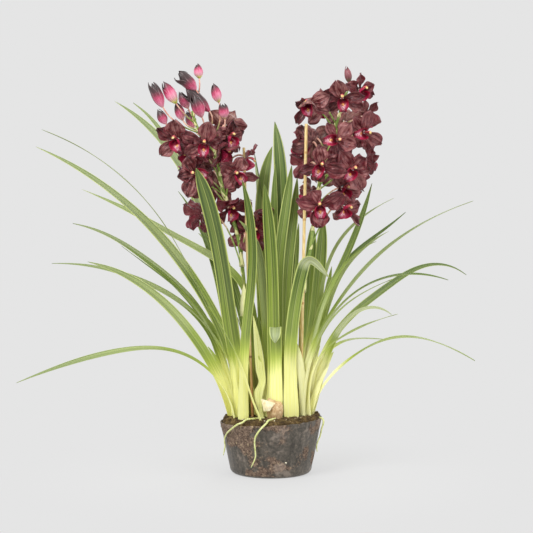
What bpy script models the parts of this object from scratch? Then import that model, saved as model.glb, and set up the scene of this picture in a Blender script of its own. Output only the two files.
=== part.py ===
"""Potted cymbidium orchid: pot, soil, leaves, two flower stems with buds and flowers, canes and roots.

Metres, +Z up. The origin is the centre of the pot's underside and the front of the plant faces -Y.
"""
import bpy
import bmesh
from math import cos, pi, radians, sin
from mathutils import Matrix, Vector

# ---------------------------------------------------------------- driving dimensions

GAP = 0.0003                 # clearance between pieces that touch

POT_HEIGHT = 0.090
POT_RIM_RADIUS = 0.0865
POT_FOOT_RADIUS = 0.0675
POT_FOOT_ROUNDING = 0.010
POT_WALL = 0.0028
POT_FLOOR = 0.0045
POT_LIP_ROUNDING = 0.0008    # height of the rounded top edge of the wall
POT_FLOOR_INSET = 0.004      # the inner floor ends this far short of the inner wall
POT_SIDES = 40

SOIL_AT_WALL = POT_HEIGHT - 0.0025
SOIL_TOP = POT_HEIGHT + 0.006            # the soil is heaped round the plants
SOIL_SHOULDER = ((0.0805, 0.0925), (0.0775, SOIL_TOP))

BLADE_THICKNESS = 0.0012     # leaves, withered leaf and husk
LEAF_STEPS = 10              # stretches along a blade
MIDRIB_PARTS = 4             # finer parts of each stretch, over which the lean is summed
LEAF_FOLD = 0.16             # depth of the trough along the midrib, as a share of the half width
LEAF_FOOT_WIDTH = 0.8        # width at the foot, as a share of the full width
LEAF_FULL_WIDTH_AT = 0.3     # share of the length at which the blade reaches its full width
LEAF_TAPER_START = 0.55      # share of the length at which the blade starts to narrow
LEAF_TIP_WIDTH = 0.0008

PETAL_REACH = 0.034          # centre of the flower to a petal's tip
PETAL_SHOULDER = 0.025       # centre to a petal's widest place
PETAL_NOTCH = 0.007          # centre to the notch between two petals
PETAL_HALF_ANGLE = 25
PETAL_DIRECTIONS = (0, 68, 140, 220, 292)
PETAL_THICKNESS = 0.0012
PETAL_SWEEP = 0.16           # how far the petals lean back, per metre of reach

LIP_LENGTH = 0.014
LIP_ROOT_RADIUS = 0.0035
LIP_MOUTH_RADIUS = 0.0065
LIP_DROOP = 35

STEM_FOOT_RADIUS = 0.0036
STEM_TOP_RADIUS = 0.0019
STALK_RADIUS = 0.0014
STALK_STEPS = 3
STALK_STRAIGHT = 0.45        # last share of a stalk that points at its flower or bud
BUD_GIRTH = 0.205            # radius of a bud, as a share of its length
BUD_TAPER = 0.3              # how much slimmer than its middle a bud is at its tip
BUD_HOLDS_STALK = 0.15       # how far a stalk reaches into its bud, as a share of its length

CANE_RADIUS = 0.0022
CANE_DEPTH = 0.050           # how deep a cane stands in the soil
CANE_HOLE_RADIUS = CANE_RADIUS + 1.5 * GAP

ROOT_RADIUS = 0.0014
ROOT_TIP_RADIUS = 0.0007

DRY_LEAF_WIDTH = 0.011
HUSK_CENTRE = (0.003, -0.042)
HUSK_HEIGHT = 0.034
HUSK_WIDTH = 0.030
HUSK_FOOT_WIDTH = 0.75       # width at the foot, as a share of the full width
HUSK_BULGE = 0.008
HUSK_TOP_BULGE = 0.4         # bulge left at the top edge, as a share of the full bulge
HUSK_SLANT = 0.15            # how much lower the top edge is at the right than in the middle

# ---------------------------------------------------------------- collections and materials

for old in list(bpy.data.objects):
    bpy.data.objects.remove(old, do_unlink=True)

orchid = bpy.data.collections.new("potted_cymbidium_orchid")
cutters = bpy.data.collections.new("cutters")
bpy.context.scene.collection.children.link(orchid)
bpy.context.scene.collection.children.link(cutters)


def finish(name, colour, roughness):
    """A plain, non-metallic Principled material."""
    material = bpy.data.materials.new(name)
    material.use_nodes = True
    shader = material.node_tree.nodes["Principled BSDF"]
    shader.inputs["Base Color"].default_value = (*colour, 1.0)
    shader.inputs["Roughness"].default_value = roughness
    shader.inputs["Metallic"].default_value = 0.0
    return material


POT_FINISH = finish("earthy_pot", (0.055, 0.043, 0.035), 0.55)
SOIL_FINISH = finish("soil", (0.045, 0.025, 0.014), 0.95)
LEAF_FINISH = finish("leaf", (0.12, 0.22, 0.06), 0.5)
DRY_FINISH = finish("dry_leaf", (0.50, 0.45, 0.22), 0.7)
HUSK_FINISH = finish("papery_husk", (0.60, 0.42, 0.27), 0.75)
STEM_FINISH = finish("flower_stem", (0.22, 0.32, 0.10), 0.5)
PETAL_FINISH = finish("petal", (0.11, 0.018, 0.025), 0.5)
CANE_FINISH = finish("bamboo", (0.68, 0.46, 0.20), 0.55)
ROOT_FINISH = finish("aerial_root", (0.55, 0.60, 0.25), 0.6)


def add(name, mesh, material, collection=orchid):
    """Wrap a mesh in an object of its own, with its material."""
    thing = bpy.data.objects.new(name, mesh)
    collection.objects.link(thing)
    mesh.materials.clear()
    mesh.materials.append(material)
    return thing


def add_cutter(name, mesh, material, collection=cutters):
    """An object that only joins or cuts another one."""
    thing = add(name, mesh, material, collection)
    thing.hide_render = True
    thing.display_type = "WIRE"
    return thing


def combine(target, operation, cutter):
    """Union with a cutter, or its subtraction."""
    step = target.modifiers.new(operation.lower(), "BOOLEAN")
    step.operation = operation
    step.object = cutter


def mesh_from(name, shape):
    """A mesh that holds a bmesh, which is freed."""
    mesh = bpy.data.meshes.new(name)
    shape.to_mesh(mesh)
    shape.free()
    return mesh


def thicken(thing, thickness):
    """Give an open surface its thickness, half on each side."""
    wall = thing.modifiers.new("thickness", "SOLIDIFY")
    wall.thickness = thickness
    wall.offset = 0.0


def evaluated_mesh(thing):
    """A new mesh of an object with its modifiers or its bevel applied."""
    bpy.context.view_layer.update()
    return bpy.data.meshes.new_from_object(thing.evaluated_get(bpy.context.evaluated_depsgraph_get()))


# ---------------------------------------------------------------- smooth paths and tubes

def cubic(a, b, c, d, t):
    """A smooth step from b to c, which heads in from a and out to d."""
    return 0.5 * (2 * b + (c - a) * t + (2 * a - 5 * b + 4 * c - d) * t ** 2
                  + (3 * b - a - 3 * c + d) * t ** 3)


def smooth_path(points, steps):
    """A smooth curve through a few points, with the given number of steps between two of them."""
    padded = [2 * points[0] - points[1]] + points + [2 * points[-1] - points[-2]]
    path = []
    for a, b, c, d in zip(padded, padded[1:], padded[2:], padded[3:]):
        path += [cubic(a, b, c, d, i / steps) for i in range(steps)]
    return path + [points[-1]]


def millimetres(points):
    """Points given in millimetres, as vectors in metres."""
    return [Vector(point) / 1000 for point in points]


def taper(start, end, count):
    """Evenly spaced radii from start to end."""
    return [start + (end - start) * i / (count - 1) for i in range(count)]


def tube_mesh(name, path, radii, resolution=1):
    """A capped round tube along the path, as a welded mesh; radii runs along with the path."""
    curve = bpy.data.curves.new(name, "CURVE")
    curve.dimensions = "3D"
    curve.bevel_depth = 1.0
    curve.bevel_resolution = resolution
    curve.use_fill_caps = True
    curve.render_resolution_u = 0
    spline = curve.splines.new("POLY")
    spline.points.add(len(path) - 1)
    for place, co, radius in zip(spline.points, path, radii):
        place.co = (*co, 1.0)
        place.radius = radius
    carrier = bpy.data.objects.new(name, curve)
    cutters.objects.link(carrier)
    mesh = evaluated_mesh(carrier)
    bpy.data.objects.remove(carrier, do_unlink=True)
    bpy.data.curves.remove(curve)
    weld = bmesh.new()
    weld.from_mesh(mesh)
    bmesh.ops.remove_doubles(weld, verts=weld.verts, dist=0.00001)
    bmesh.ops.recalc_face_normals(weld, faces=weld.faces)
    weld.to_mesh(mesh)
    weld.free()
    mesh.name = name
    return mesh


# ---------------------------------------------------------------- pot and soil

def turned(name, profile, material):
    """A body of revolution round Z; the profile runs from the axis outwards, upwards and back in."""
    mesh = bpy.data.meshes.new(name)
    edges = [(i, i + 1) for i in range(len(profile) - 1)]
    mesh.from_pydata([(r, 0.0, z) for r, z in profile], edges, [])
    thing = add(name, mesh, material)
    screw = thing.modifiers.new("turn", "SCREW")
    screw.steps = POT_SIDES
    screw.render_steps = POT_SIDES
    screw.use_merge_vertices = True
    screw.merge_threshold = 0.00001
    screw.use_normal_flip = True
    return thing


def wall_radius(height):
    """Outer radius of the pot's tapered wall at a height."""
    return POT_FOOT_RADIUS + (POT_RIM_RADIUS - POT_FOOT_RADIUS) * height / POT_HEIGHT


foot_arc = [
    (wall_radius(POT_FOOT_ROUNDING) - POT_FOOT_ROUNDING * (1 - sin(a)), POT_FOOT_ROUNDING * (1 - cos(a)))
    for a in (0, pi / 6, pi / 3, pi / 2)
]
inner_floor_radius = wall_radius(POT_FLOOR) - POT_WALL - POT_FLOOR_INSET
turned("pot", [(0, 0)] + foot_arc + [
    (POT_RIM_RADIUS, POT_HEIGHT - POT_LIP_ROUNDING),
    (POT_RIM_RADIUS - POT_WALL / 2, POT_HEIGHT),
    (POT_RIM_RADIUS - POT_WALL, POT_HEIGHT - POT_LIP_ROUNDING),
    (wall_radius(POT_FOOT_ROUNDING) - POT_WALL, POT_FOOT_ROUNDING),
    (inner_floor_radius, POT_FLOOR),
    (0, POT_FLOOR),
], POT_FINISH)

soil = turned("soil", [
    (0, POT_FLOOR + GAP),
    (inner_floor_radius - GAP, POT_FLOOR + GAP),
    (wall_radius(POT_FOOT_ROUNDING) - POT_WALL - GAP, POT_FOOT_ROUNDING + GAP),
    (wall_radius(SOIL_AT_WALL) - POT_WALL - GAP, SOIL_AT_WALL),
    *SOIL_SHOULDER,
    (0, SOIL_TOP),
], SOIL_FINISH)

# ---------------------------------------------------------------- leaves

# Each leaf: name, foot x and y (mm), compass direction it leans to (degrees from +X towards +Y),
# length (mm), lean from upright at five places from foot to tip (degrees), width (mm), the roll of
# the blade round its midrib at the foot and at the tip (degrees), and how blunt the tip is.
LEAVES = (
    ("leaf_left_01", -62, -35, 204, 429, (10, 52, 90, 104, 111), 10, -16, -70, 2),
    ("leaf_left_02", -64, -3, 198, 376, (16, 30, 41, 57, 78), 24, -89, -50, 2),
    ("leaf_left_03", -60, 27, 160, 491, (17, 21, 49, 59, 80), 17, -60, -40, 2),
    ("leaf_left_04", -52, 6, 186, 599, (1, 24, 38, 52, 67), 22, -74, -30, 2),
    ("leaf_left_05", -51, 41, 165, 579, (-13, -1, 57, 62, 69), 15, -50, -40, 2),
    ("leaf_left_06", -61, -17, 204, 604, (3, 22, 30, 51, 73), 6, -30, -10, 2),
    ("leaf_left_07", -48, 59, 147, 669, (10, 13, 20, 43, 63), 16, -55, -50, 3),
    ("leaf_left_08", -30, 66, 140, 669, (0, 18, 33, 33, 61), 15, -50, -30, 3),
    ("leaf_left_09", -54, -13, 238, 434, (-3, 15, 14, 22, 36), 26, 30, 30, 8),
    ("leaf_left_10", -46, -59, 215, 399, (1, -3, -8, 3, 19), 13, 55, 40, 5),
    ("leaf_centre_01", -5, -7, 225, 349, (-5, 3, 7, 13, 62), 16, 40, 50, 4),
    ("leaf_centre_02", 2, -31, 250, 394, (-5, -1, 4, 12, 22), 21, 20, 20, 5),
    ("leaf_centre_03", 14, 27, 115, 509, (-3, -1, -2, 3, 22), 24, -25, -25, 6),
    ("leaf_centre_04", -8, 58, 60, 474, (1, -4, -6, 3, 36), 20, 30, 30, 6),
    ("leaf_centre_05", 15, -8, 40, 429, (-3, -1, 1, 10, 6), 18, 50, 50, 6),
    ("leaf_centre_06", 28, 7, 40, 409, (-6, -1, 4, 9, 6), 18, 50, 60, 5),
    ("leaf_centre_07", 34, -30, -40, 332, (-3, 0, 5, 22, 160), 22, 140, 185, 4),
    ("leaf_right_01", 49, 42, 55, 353, (21, 17, 13, 9, 6), 22, 40, 35, 6),
    ("leaf_right_02", 41, 66, 65, 347, (30, 20, 11, 8, 7), 22, 30, 25, 6),
    ("leaf_right_03", 62, 8, 12, 419, (5, 5, 26, 23, 15), 17, 60, 70, 4),
    ("leaf_right_04", 67, 42, 35, 464, (4, 7, 16, 52, 70), 7, 40, 30, 2),
    ("leaf_right_05", 66, 27, 35, 454, (-9, 11, 33, 59, 56), 16, 50, 40, 3),
    ("leaf_right_06", 54, -14, -20, 494, (-10, 25, 39, 57, 73), 9, 69, 30, 2),
    ("leaf_right_07", 67, -4, 8, 424, (0, 25, 51, 63, 130), 15, 60, 50, 2),
    ("leaf_right_08", 57, -32, -30, 409, (-4, 18, 45, 77, 109), 10, 59, 20, 2),
    ("leaf_right_09", 64, -13, -10, 261, (22, 15, 24, 56, 133), 21, 69, 40, 2),
    ("leaf_right_10", 67, -35, -25, 264, (-10, 11, 50, 66, 75), 8, 49, 20, 2),
    ("leaf_right_11", 67, 10, 25, 230, (6, 11, 49, 86, 96), 8, 39, 20, 2),
    ("leaf_right_12", 67, -25, -22, 349, (11, 44, 65, 102, 121), 7, 58, 10, 2),
)


def lean_at(leans, share):
    """Lean from upright (radians) at a share of a leaf's length."""
    stretches = len(leans) - 1
    ends = (2 * leans[0] - leans[1],) + leans + (2 * leans[-1] - leans[-2],)
    i = min(int(share * stretches), stretches - 1)
    return radians(cubic(*ends[i:i + 4], share * stretches - i))


def midrib(row, steps):
    """Points of a leaf's midrib, with the blade's tangent, sideways and upward directions at each."""
    _, x, y, heading, length, leans, _, roll_foot, roll_tip, _ = row
    across = Vector((cos(radians(heading)), sin(radians(heading)), 0))
    level = Vector((-across.y, across.x, 0))
    place = Vector((x / 1000, y / 1000, SOIL_TOP + GAP))
    frames = []
    for i in range(steps + 1):
        share = i / steps
        lean = lean_at(leans, share)
        tangent = across * sin(lean) + Vector((0, 0, cos(lean)))
        roll = Matrix.Rotation(radians(roll_foot + (roll_tip - roll_foot) * share), 3, tangent)
        side = roll @ level
        frames.append((place.copy(), tangent, side, tangent.cross(side)))
        for part_step in range(MIDRIB_PARTS):
            lean = lean_at(leans, min(1.0, (i + (part_step + 0.5) / MIDRIB_PARTS) / steps))
            place += (across * sin(lean) + Vector((0, 0, cos(lean)))) * length / 1000 / steps / MIDRIB_PARTS
    return frames


def blade_width(share, width, bluntness=2):
    """Full width of a blade at a share of its length; a tip of bluntness 2 narrows slowly to a point."""
    if share < LEAF_TAPER_START:
        return width * min(1.0, LEAF_FOOT_WIDTH + (1 - LEAF_FOOT_WIDTH) * share / LEAF_FULL_WIDTH_AT)
    taper_share = (share - LEAF_TAPER_START) / (1 - LEAF_TAPER_START)
    return max(LEAF_TIP_WIDTH, width * (1 - taper_share ** bluntness))


def leaf(row):
    """A folded strap leaf: a strip laid along its midrib, with a thickness."""
    name = row[0]
    frames = midrib(row, LEAF_STEPS)
    strip = bmesh.new()
    bmesh.ops.create_grid(strip, x_segments=2, y_segments=LEAF_STEPS, size=1.0)
    for corner in strip.verts:
        step = round((corner.co.y + 1) / 2 * LEAF_STEPS)
        place, tangent, side, up = frames[step]
        half = blade_width(step / LEAF_STEPS, row[6] / 1000, row[9]) / 2
        corner.co = place + side * half * corner.co.x + up * half * LEAF_FOLD * abs(corner.co.x)
        if step == 0:
            corner.co.z = SOIL_TOP + GAP + BLADE_THICKNESS / 2
    thicken(add(name, mesh_from(name, strip), LEAF_FINISH), BLADE_THICKNESS)


for leaf_row in LEAVES:
    leaf(leaf_row)

# ---------------------------------------------------------------- flowers

# Each flower: name, centre x, y and z (mm), compass direction it faces, how far it looks up (degrees),
# turn round its own axis (degrees), and the height (mm) at which its stalk leaves the stem.
LEFT_FLOWERS = (
    ("flower_left_01", -155, -36, 561, 250, -18, 14, 532),
    ("flower_left_02", -110, -47, 552, 268, -14, -6, 528),
    ("flower_left_03", -72, -23, 567, 305, -12, -8, 540),
    ("flower_left_04", -133, -12, 540, 215, -28, -30, 486),
    ("flower_left_05", -128, -27, 505, 285, -4, 80, 470),
    ("flower_left_06", -60, -41, 505, 298, -22, 45, 462),
    ("flower_left_07", -36, 6, 535, 10, -8, 0, 505),
    ("flower_left_08", -33, 16, 409, 290, -10, -20, 366),
    ("flower_left_09", -118, 8, 440, 140, -15, 0, 338),
)
RIGHT_FLOWERS = (
    ("flower_right_01", 118, -41, 628, 270, -16, 6, 605),
    ("flower_right_02", 149, -17, 646, 300, -12, -30, 612),
    ("flower_right_03", 63, -36, 621, 255, -20, 5, 582),
    ("flower_right_04", 108, -49, 559, 264, -6, -85, 532),
    ("flower_right_05", 154, -36, 573, 285, -12, -80, 540),
    ("flower_right_06", 84, -51, 515, 258, -12, -28, 478),
    ("flower_right_07", 134, -44, 510, 276, -12, -35, 478),
    ("flower_right_08", 162, 14, 530, 40, -10, 0, 496),
    ("flower_right_09", 48, 18, 560, 155, -15, 0, 520),
    ("flower_right_10", 80, -55, 449, 270, -14, 4, 412),
    ("flower_right_11", 121, -34, 449, 300, -22, -45, 380),
)


def blossom_mesh():
    """Three sepals and two petals as one lobed star, facing +Z with its top at +Y, and the lip in front."""
    star = bmesh.new()
    points = 4 * len(PETAL_DIRECTIONS)
    bmesh.ops.create_circle(star, cap_ends=True, cap_tris=True, segments=points, radius=1.0)
    rim = [corner for corner in star.verts if corner.co.length > 0.5]
    outline = []
    for direction, following in zip(PETAL_DIRECTIONS, PETAL_DIRECTIONS[1:] + (360,)):
        outline.append((PETAL_REACH, direction))
        outline.append((PETAL_SHOULDER, direction + PETAL_HALF_ANGLE))
        outline.append((PETAL_NOTCH, (direction + following) / 2))
        outline.append((PETAL_SHOULDER, following - PETAL_HALF_ANGLE))
    for corner, (reach, angle) in zip(rim, outline):
        corner.co = (reach * sin(radians(angle)), reach * cos(radians(angle)), -reach * PETAL_SWEEP)
    bmesh.ops.recalc_face_normals(star, faces=star.faces)
    petals = add_cutter("petal_star", mesh_from("petal_star", star), PETAL_FINISH)
    thicken(petals, PETAL_THICKNESS)

    lip = bmesh.new()
    bmesh.ops.create_cone(lip, cap_ends=True, segments=6, radius1=LIP_ROOT_RADIUS,
                          radius2=LIP_MOUTH_RADIUS, depth=LIP_LENGTH)
    bmesh.ops.translate(lip, verts=lip.verts, vec=(0, 0, LIP_LENGTH / 2))
    bmesh.ops.rotate(lip, verts=lip.verts, matrix=Matrix.Rotation(radians(LIP_DROOP), 3, "X"))
    root_dip = LIP_ROOT_RADIUS * sin(radians(LIP_DROOP))
    bmesh.ops.translate(lip, verts=lip.verts, vec=(0, 0, root_dip - PETAL_THICKNESS / 2))
    combine(petals, "UNION", add_cutter("lip", mesh_from("lip", lip), PETAL_FINISH))
    return evaluated_mesh(petals)


def facing(direction, pitch):
    """Unit vector of a compass direction and a pitch."""
    return Vector((cos(radians(direction)) * cos(radians(pitch)),
                   sin(radians(direction)) * cos(radians(pitch)), sin(radians(pitch))))


def flower(row, mesh):
    """One flower at its place; its stalk meets the middle of its back."""
    name, x, y, z, direction, pitch, turn, _ = row
    front = facing(direction, pitch)
    right = Vector((0, 0, 1)).cross(front).normalized()
    frame = Matrix((right, front.cross(right), front)).transposed().to_4x4()
    place = Matrix.Translation(Vector((x, y, z)) / 1000)
    add(name, mesh, PETAL_FINISH).matrix_world = place @ frame @ Matrix.Rotation(radians(turn), 4, "Z")


blossom = blossom_mesh()
for flower_row in LEFT_FLOWERS + RIGHT_FLOWERS:
    flower(flower_row, blossom)

# ---------------------------------------------------------------- flower stems with stalks and buds

LEFT_STEM = ((-32, 12, 96.3), (-36, 10, 172), (-41, 7, 241), (-45, 3, 309), (-51, 0, 367), (-61, 0, 419),
             (-76, 0, 462), (-85, 0, 495), (-92, 0, 530), (-104, 0, 557), (-124, 0, 584), (-134, -2, 613))
RIGHT_STEM = ((51, 22, 96.3), (56, 20, 189), (63, 16, 292), (70, 10, 386), (77, 5, 460), (87, 0, 513),
              (99, 0, 550), (111, 0, 590), (121, 0, 622), (128, 0, 645))

# Each bud: base x, y and z (mm), tip x, y and z (mm), and the height at which its stalk leaves the stem.
LEFT_BUDS = (
    (-182, -20, 617, -202, -26, 660, 575),
    (-160, -12, 624, -183, -16, 661, 590),
    (-127, -10, 648, -160, -16, 678, 606),
    (-122, 2, 671, -125, 4, 691, 611),
    (-88, -6, 627, -99, -10, 660, 556),
    (-116, -22, 600, -131, -30, 637, 566),
    (-142, 16, 620, -158, 22, 651, 600),
    (-150, 4, 598, -163, 6, 630, 580),
    (-133, 26, 588, -146, 36, 620, 566),
    (-78, -14, 598, -82, -18, 625, 545),
    (-178, -8, 590, -192, -8, 616, 560),
    (-104, -4, 612, -146, 0, 650, 566),
)
RIGHT_BUDS = (
    (133, 2, 661, 129, 4, 691, 638),
)


def at_height(path, height):
    """The point of a rising path at a height."""
    for low, high in zip(path, path[1:]):
        if low.z <= height <= high.z:
            return low.lerp(high, (height - low.z) / (high.z - low.z))
    return path[-1]


def stalk_path(start, end, arrival):
    """A stalk that leaves the stem rising and arrives at its flower or bud along its axis."""
    reach = (end - start).length
    control = end - arrival * reach * STALK_STRAIGHT
    shares = [i / STALK_STEPS for i in range(STALK_STEPS + 1)]
    return [start.lerp(control, t).lerp(control.lerp(end, t), t) for t in shares]


def bud_mesh(base, tip):
    """A pointed egg from base to tip."""
    length = (tip - base).length
    egg = bmesh.new()
    bmesh.ops.create_uvsphere(egg, u_segments=8, v_segments=6, radius=1.0)
    for corner in egg.verts:
        girth = BUD_GIRTH * length * (1 - BUD_TAPER * corner.co.z)
        corner.co = (corner.co.x * girth, corner.co.y * girth, (corner.co.z + 1) / 2 * length)
    turn = Vector((0, 0, 1)).rotation_difference(tip - base).to_matrix()
    bmesh.ops.rotate(egg, verts=egg.verts, matrix=turn)
    bmesh.ops.translate(egg, verts=egg.verts, vec=base)
    return mesh_from("bud", egg)


def spike(name, stem_points, flowers, buds):
    """A flower stem with the stalks of its flowers and its closed buds, grown as one piece."""
    path = smooth_path(millimetres(stem_points), 2)
    stem = add(name, tube_mesh(name, path, taper(STEM_FOOT_RADIUS, STEM_TOP_RADIUS, len(path))), STEM_FINISH)
    shoots = bpy.data.collections.new(name + "_shoots")
    cutters.children.link(shoots)

    def stalk(height, end, arrival):
        points = stalk_path(at_height(path, height / 1000), end, arrival)
        mesh = tube_mesh("stalk", points, [STALK_RADIUS] * len(points), 0)
        add_cutter("stalk", mesh, STEM_FINISH, shoots)

    for _, x, y, z, direction, pitch, _, height in flowers:
        front = facing(direction, pitch)
        behind = PETAL_THICKNESS / 2 + GAP + 2 * STALK_RADIUS * PETAL_SWEEP
        stalk(height, Vector((x, y, z)) / 1000 - front * behind, front)
    for *ends, height in buds:
        base, tip = millimetres((ends[:3], ends[3:]))
        stalk(height, base.lerp(tip, BUD_HOLDS_STALK), (tip - base).normalized())
        add_cutter("bud", bud_mesh(base, tip), STEM_FINISH, shoots)
    grown = stem.modifiers.new("grown_together", "BOOLEAN")
    grown.operation = "UNION"
    grown.operand_type = "COLLECTION"
    grown.collection = shoots


spike("spike_left", LEFT_STEM, LEFT_FLOWERS, LEFT_BUDS)
spike("spike_right", RIGHT_STEM, RIGHT_FLOWERS, RIGHT_BUDS)

# ---------------------------------------------------------------- canes

def cane(name, *ends):
    """A straight bamboo cane pushed into the soil, in a hole that it fills."""
    foot, top = millimetres(ends)
    down = (foot - top).normalized()
    deep = foot + down * CANE_DEPTH
    add(name, tube_mesh(name, [deep, foot, top], [CANE_RADIUS] * 3), CANE_FINISH)
    hole = tube_mesh(name + "_hole", [deep + down * GAP, foot - down * CANE_DEPTH], [CANE_HOLE_RADIUS] * 2)
    combine(soil, "DIFFERENCE", add_cutter(name + "_hole", hole, SOIL_FINISH))


# foot at the soil's top, and top (mm)
cane("cane_left", (-31, -18, 96), (-46, -10, 550))
cane("cane_right", (50, 2, 96), (59, -28, 588))

# ---------------------------------------------------------------- aerial roots

ROOTS = (
    ("root_front", (7, -56, 97.9), (0, -68, 97.9), (-5, -77, 97.2), (-8, -85, 94), (-17, -91, 86),
     (-25, -89, 74), (-27, -84, 63), (-26, -81, 50), (-26, -78, 37), (-33, -72, 20)),
    ("root_left", (-12, -46, 97.9), (-22, -54, 97.9), (-40, -66, 97.8), (-47, -73, 94), (-56, -71, 90),
     (-66, -60, 81), (-74, -43, 71), (-78, -33, 59), (-77, -31, 48), (-80, -30, 33)),
    ("root_right", (68, -8, 98), (75, -12, 98), (81, -17, 94.9), (87, -20, 92.6), (88, -21, 86),
     (84.8, -20, 75), (82.5, -20, 64), (78, -24, 54), (76.4, -25, 46), (77.5, -24, 38)),
)


def root(name, *points):
    """A pale root that lies on the soil, crosses the rim and hangs down the wall."""
    path = smooth_path(millimetres(points), 2)
    add(name, tube_mesh(name, path, taper(ROOT_RADIUS, ROOT_TIP_RADIUS, len(path))), ROOT_FINISH)


for root_row in ROOTS:
    root(*root_row)

# ---------------------------------------------------------------- withered leaf and husk

DRY_LEAF = ((-14, -36, 96.9), (-18, -34, 110), (-21, -31, 126), (-20, -29, 141), (-15, -27, 156),
            (-18, -24, 176), (-21, -22, 206), (-25, -20, 236), (-30, -18, 266))


def dry_leaf():
    """The withered leaf: a narrow strip laid along a kinked line."""
    path = smooth_path(millimetres(DRY_LEAF), 2)
    steps = len(path) - 1
    strip = bmesh.new()
    bmesh.ops.create_grid(strip, x_segments=1, y_segments=steps, size=1.0)
    for corner in strip.verts:
        step = round((corner.co.y + 1) / 2 * steps)
        half = blade_width(step / steps, DRY_LEAF_WIDTH) / 2
        corner.co = path[step] + Vector((corner.co.x * half, 0, 0))
    thicken(add("leaf_dry", mesh_from("leaf_dry", strip), DRY_FINISH), BLADE_THICKNESS)


def husk():
    """The papery husk of a spent bulb: a bulging flap that stands on the soil in front of the leaves."""
    flap = bmesh.new()
    bmesh.ops.create_grid(flap, x_segments=4, y_segments=3, size=1.0)
    for corner in flap.verts:
        across, rise = corner.co.x, (corner.co.y + 1) / 2
        half = HUSK_WIDTH / 2 * (HUSK_FOOT_WIDTH + (1 - HUSK_FOOT_WIDTH) * rise)
        bulge = HUSK_BULGE * (1 - across ** 2) * (1 - rise * (1 - HUSK_TOP_BULGE))
        foot = SOIL_TOP + GAP + BLADE_THICKNESS / 2
        corner.co = (HUSK_CENTRE[0] + across * half, HUSK_CENTRE[1] - bulge,
                     foot + HUSK_HEIGHT * rise * (1 - HUSK_SLANT * across))
    thicken(add("husk", mesh_from("husk", flap), HUSK_FINISH), BLADE_THICKNESS)


dry_leaf()
husk()
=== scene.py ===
"""Potted cymbidium orchid: the finished surface of every piece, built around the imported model.

Metres, +Z up; the front of the plant faces -Y. Each section holds one piece or one group of like pieces,
in the order in which the plant is put together.
"""
import bmesh
import bpy
from math import cos, pi, radians, sin
from mathutils import Matrix, Vector, noise
from random import Random


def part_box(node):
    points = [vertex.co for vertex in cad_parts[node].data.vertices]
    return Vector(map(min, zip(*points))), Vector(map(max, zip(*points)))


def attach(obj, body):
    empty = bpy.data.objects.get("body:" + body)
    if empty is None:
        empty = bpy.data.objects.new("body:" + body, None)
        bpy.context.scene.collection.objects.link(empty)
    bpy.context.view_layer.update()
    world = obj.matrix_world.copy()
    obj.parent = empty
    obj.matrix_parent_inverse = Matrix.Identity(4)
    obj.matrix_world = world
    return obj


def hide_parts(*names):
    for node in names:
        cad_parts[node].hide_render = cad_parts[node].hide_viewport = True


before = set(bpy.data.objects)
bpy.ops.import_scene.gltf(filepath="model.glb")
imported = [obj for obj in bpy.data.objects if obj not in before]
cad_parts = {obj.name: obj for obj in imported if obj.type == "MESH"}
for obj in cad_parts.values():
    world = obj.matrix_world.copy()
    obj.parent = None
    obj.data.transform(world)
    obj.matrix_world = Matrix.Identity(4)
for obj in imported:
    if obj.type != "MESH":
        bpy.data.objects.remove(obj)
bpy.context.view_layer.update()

# ================================================================ pot
# A thin-walled, tapered pot: dark grey and slightly glossy where it is clean, with brown earth dried on it
# in patches. The wall is turned from a profile, then dented a little and roughened where the earth sticks.

POT_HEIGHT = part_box("pot")[1].z
POT_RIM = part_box("pot")[1].x
POT_TAPER = 0.019            # how much narrower the foot is than the rim, in radius
POT_WALL = 0.0028
POT_FOOT_ROUNDING = 0.010
POT_FOOT_STEPS = 6           # steps round that corner
POT_FLOOR = 0.0045
POT_LIP = 0.0012             # depth of the chamfer inside the rim
POT_ROWS = 56                # rings up the wall
POT_TURNS = 300              # steps round it
POT_DENT = 0.0009
POT_CRUST = 0.0008           # height of the dried earth on the wall
POT_RIM_WEAR = 0.0011
POT_RIM_SLOPE = 0.045        # the rim stands higher at the right: rise per metre across
POT_MIDDLE = 0.010           # the floor and the underside stay flat within this radius
EARTH_LEFTWARD = 3.6         # how much more earth sticks to the wall per metre to the left


def tint(code):
    """Linear colour of a six-figure sRGB code."""
    parts = [int(code[i:i + 2], 16) / 255 for i in (0, 2, 4)]
    return [part / 12.92 if part <= 0.04045 else ((part + 0.055) / 1.055) ** 2.4 for part in parts] + [1.0]


def start_finish(name, roughness, **sockets):
    """A new material, with its node tree and its shader. Sockets that stay constant are set here."""
    material = bpy.data.materials.new(name)
    material.use_nodes = True
    shader = material.node_tree.nodes["Principled BSDF"]
    shader.inputs["Roughness"].default_value = roughness
    for socket, value in sockets.items():
        shader.inputs[socket.replace("_", " ")].default_value = value
    return material, material.node_tree, shader


def fill(tree, socket, value):
    """Give an input a link if the value is a socket, and otherwise the value itself."""
    if isinstance(value, bpy.types.NodeSocket):
        tree.links.new(value, socket)
    else:
        socket.default_value = value


def add_node(tree, kind, inputs, **settings):
    """A shader node with its settings, and its inputs filled by name or number."""
    made = tree.nodes.new("ShaderNode" + kind)
    for setting, value in settings.items():
        setattr(made, setting, value)
    for socket, value in inputs.items():
        fill(tree, made.inputs[socket], value)
    return made


def scaled(tree, vector, scale):
    """Coordinates stretched along each axis."""
    return add_node(tree, "Mapping", {"Vector": vector, "Scale": scale}).outputs["Vector"]


def on_object(tree, scale=(1, 1, 1)):
    """Object coordinates, scaled."""
    return scaled(tree, add_node(tree, "TexCoord", {}).outputs["Object"], scale)


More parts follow.
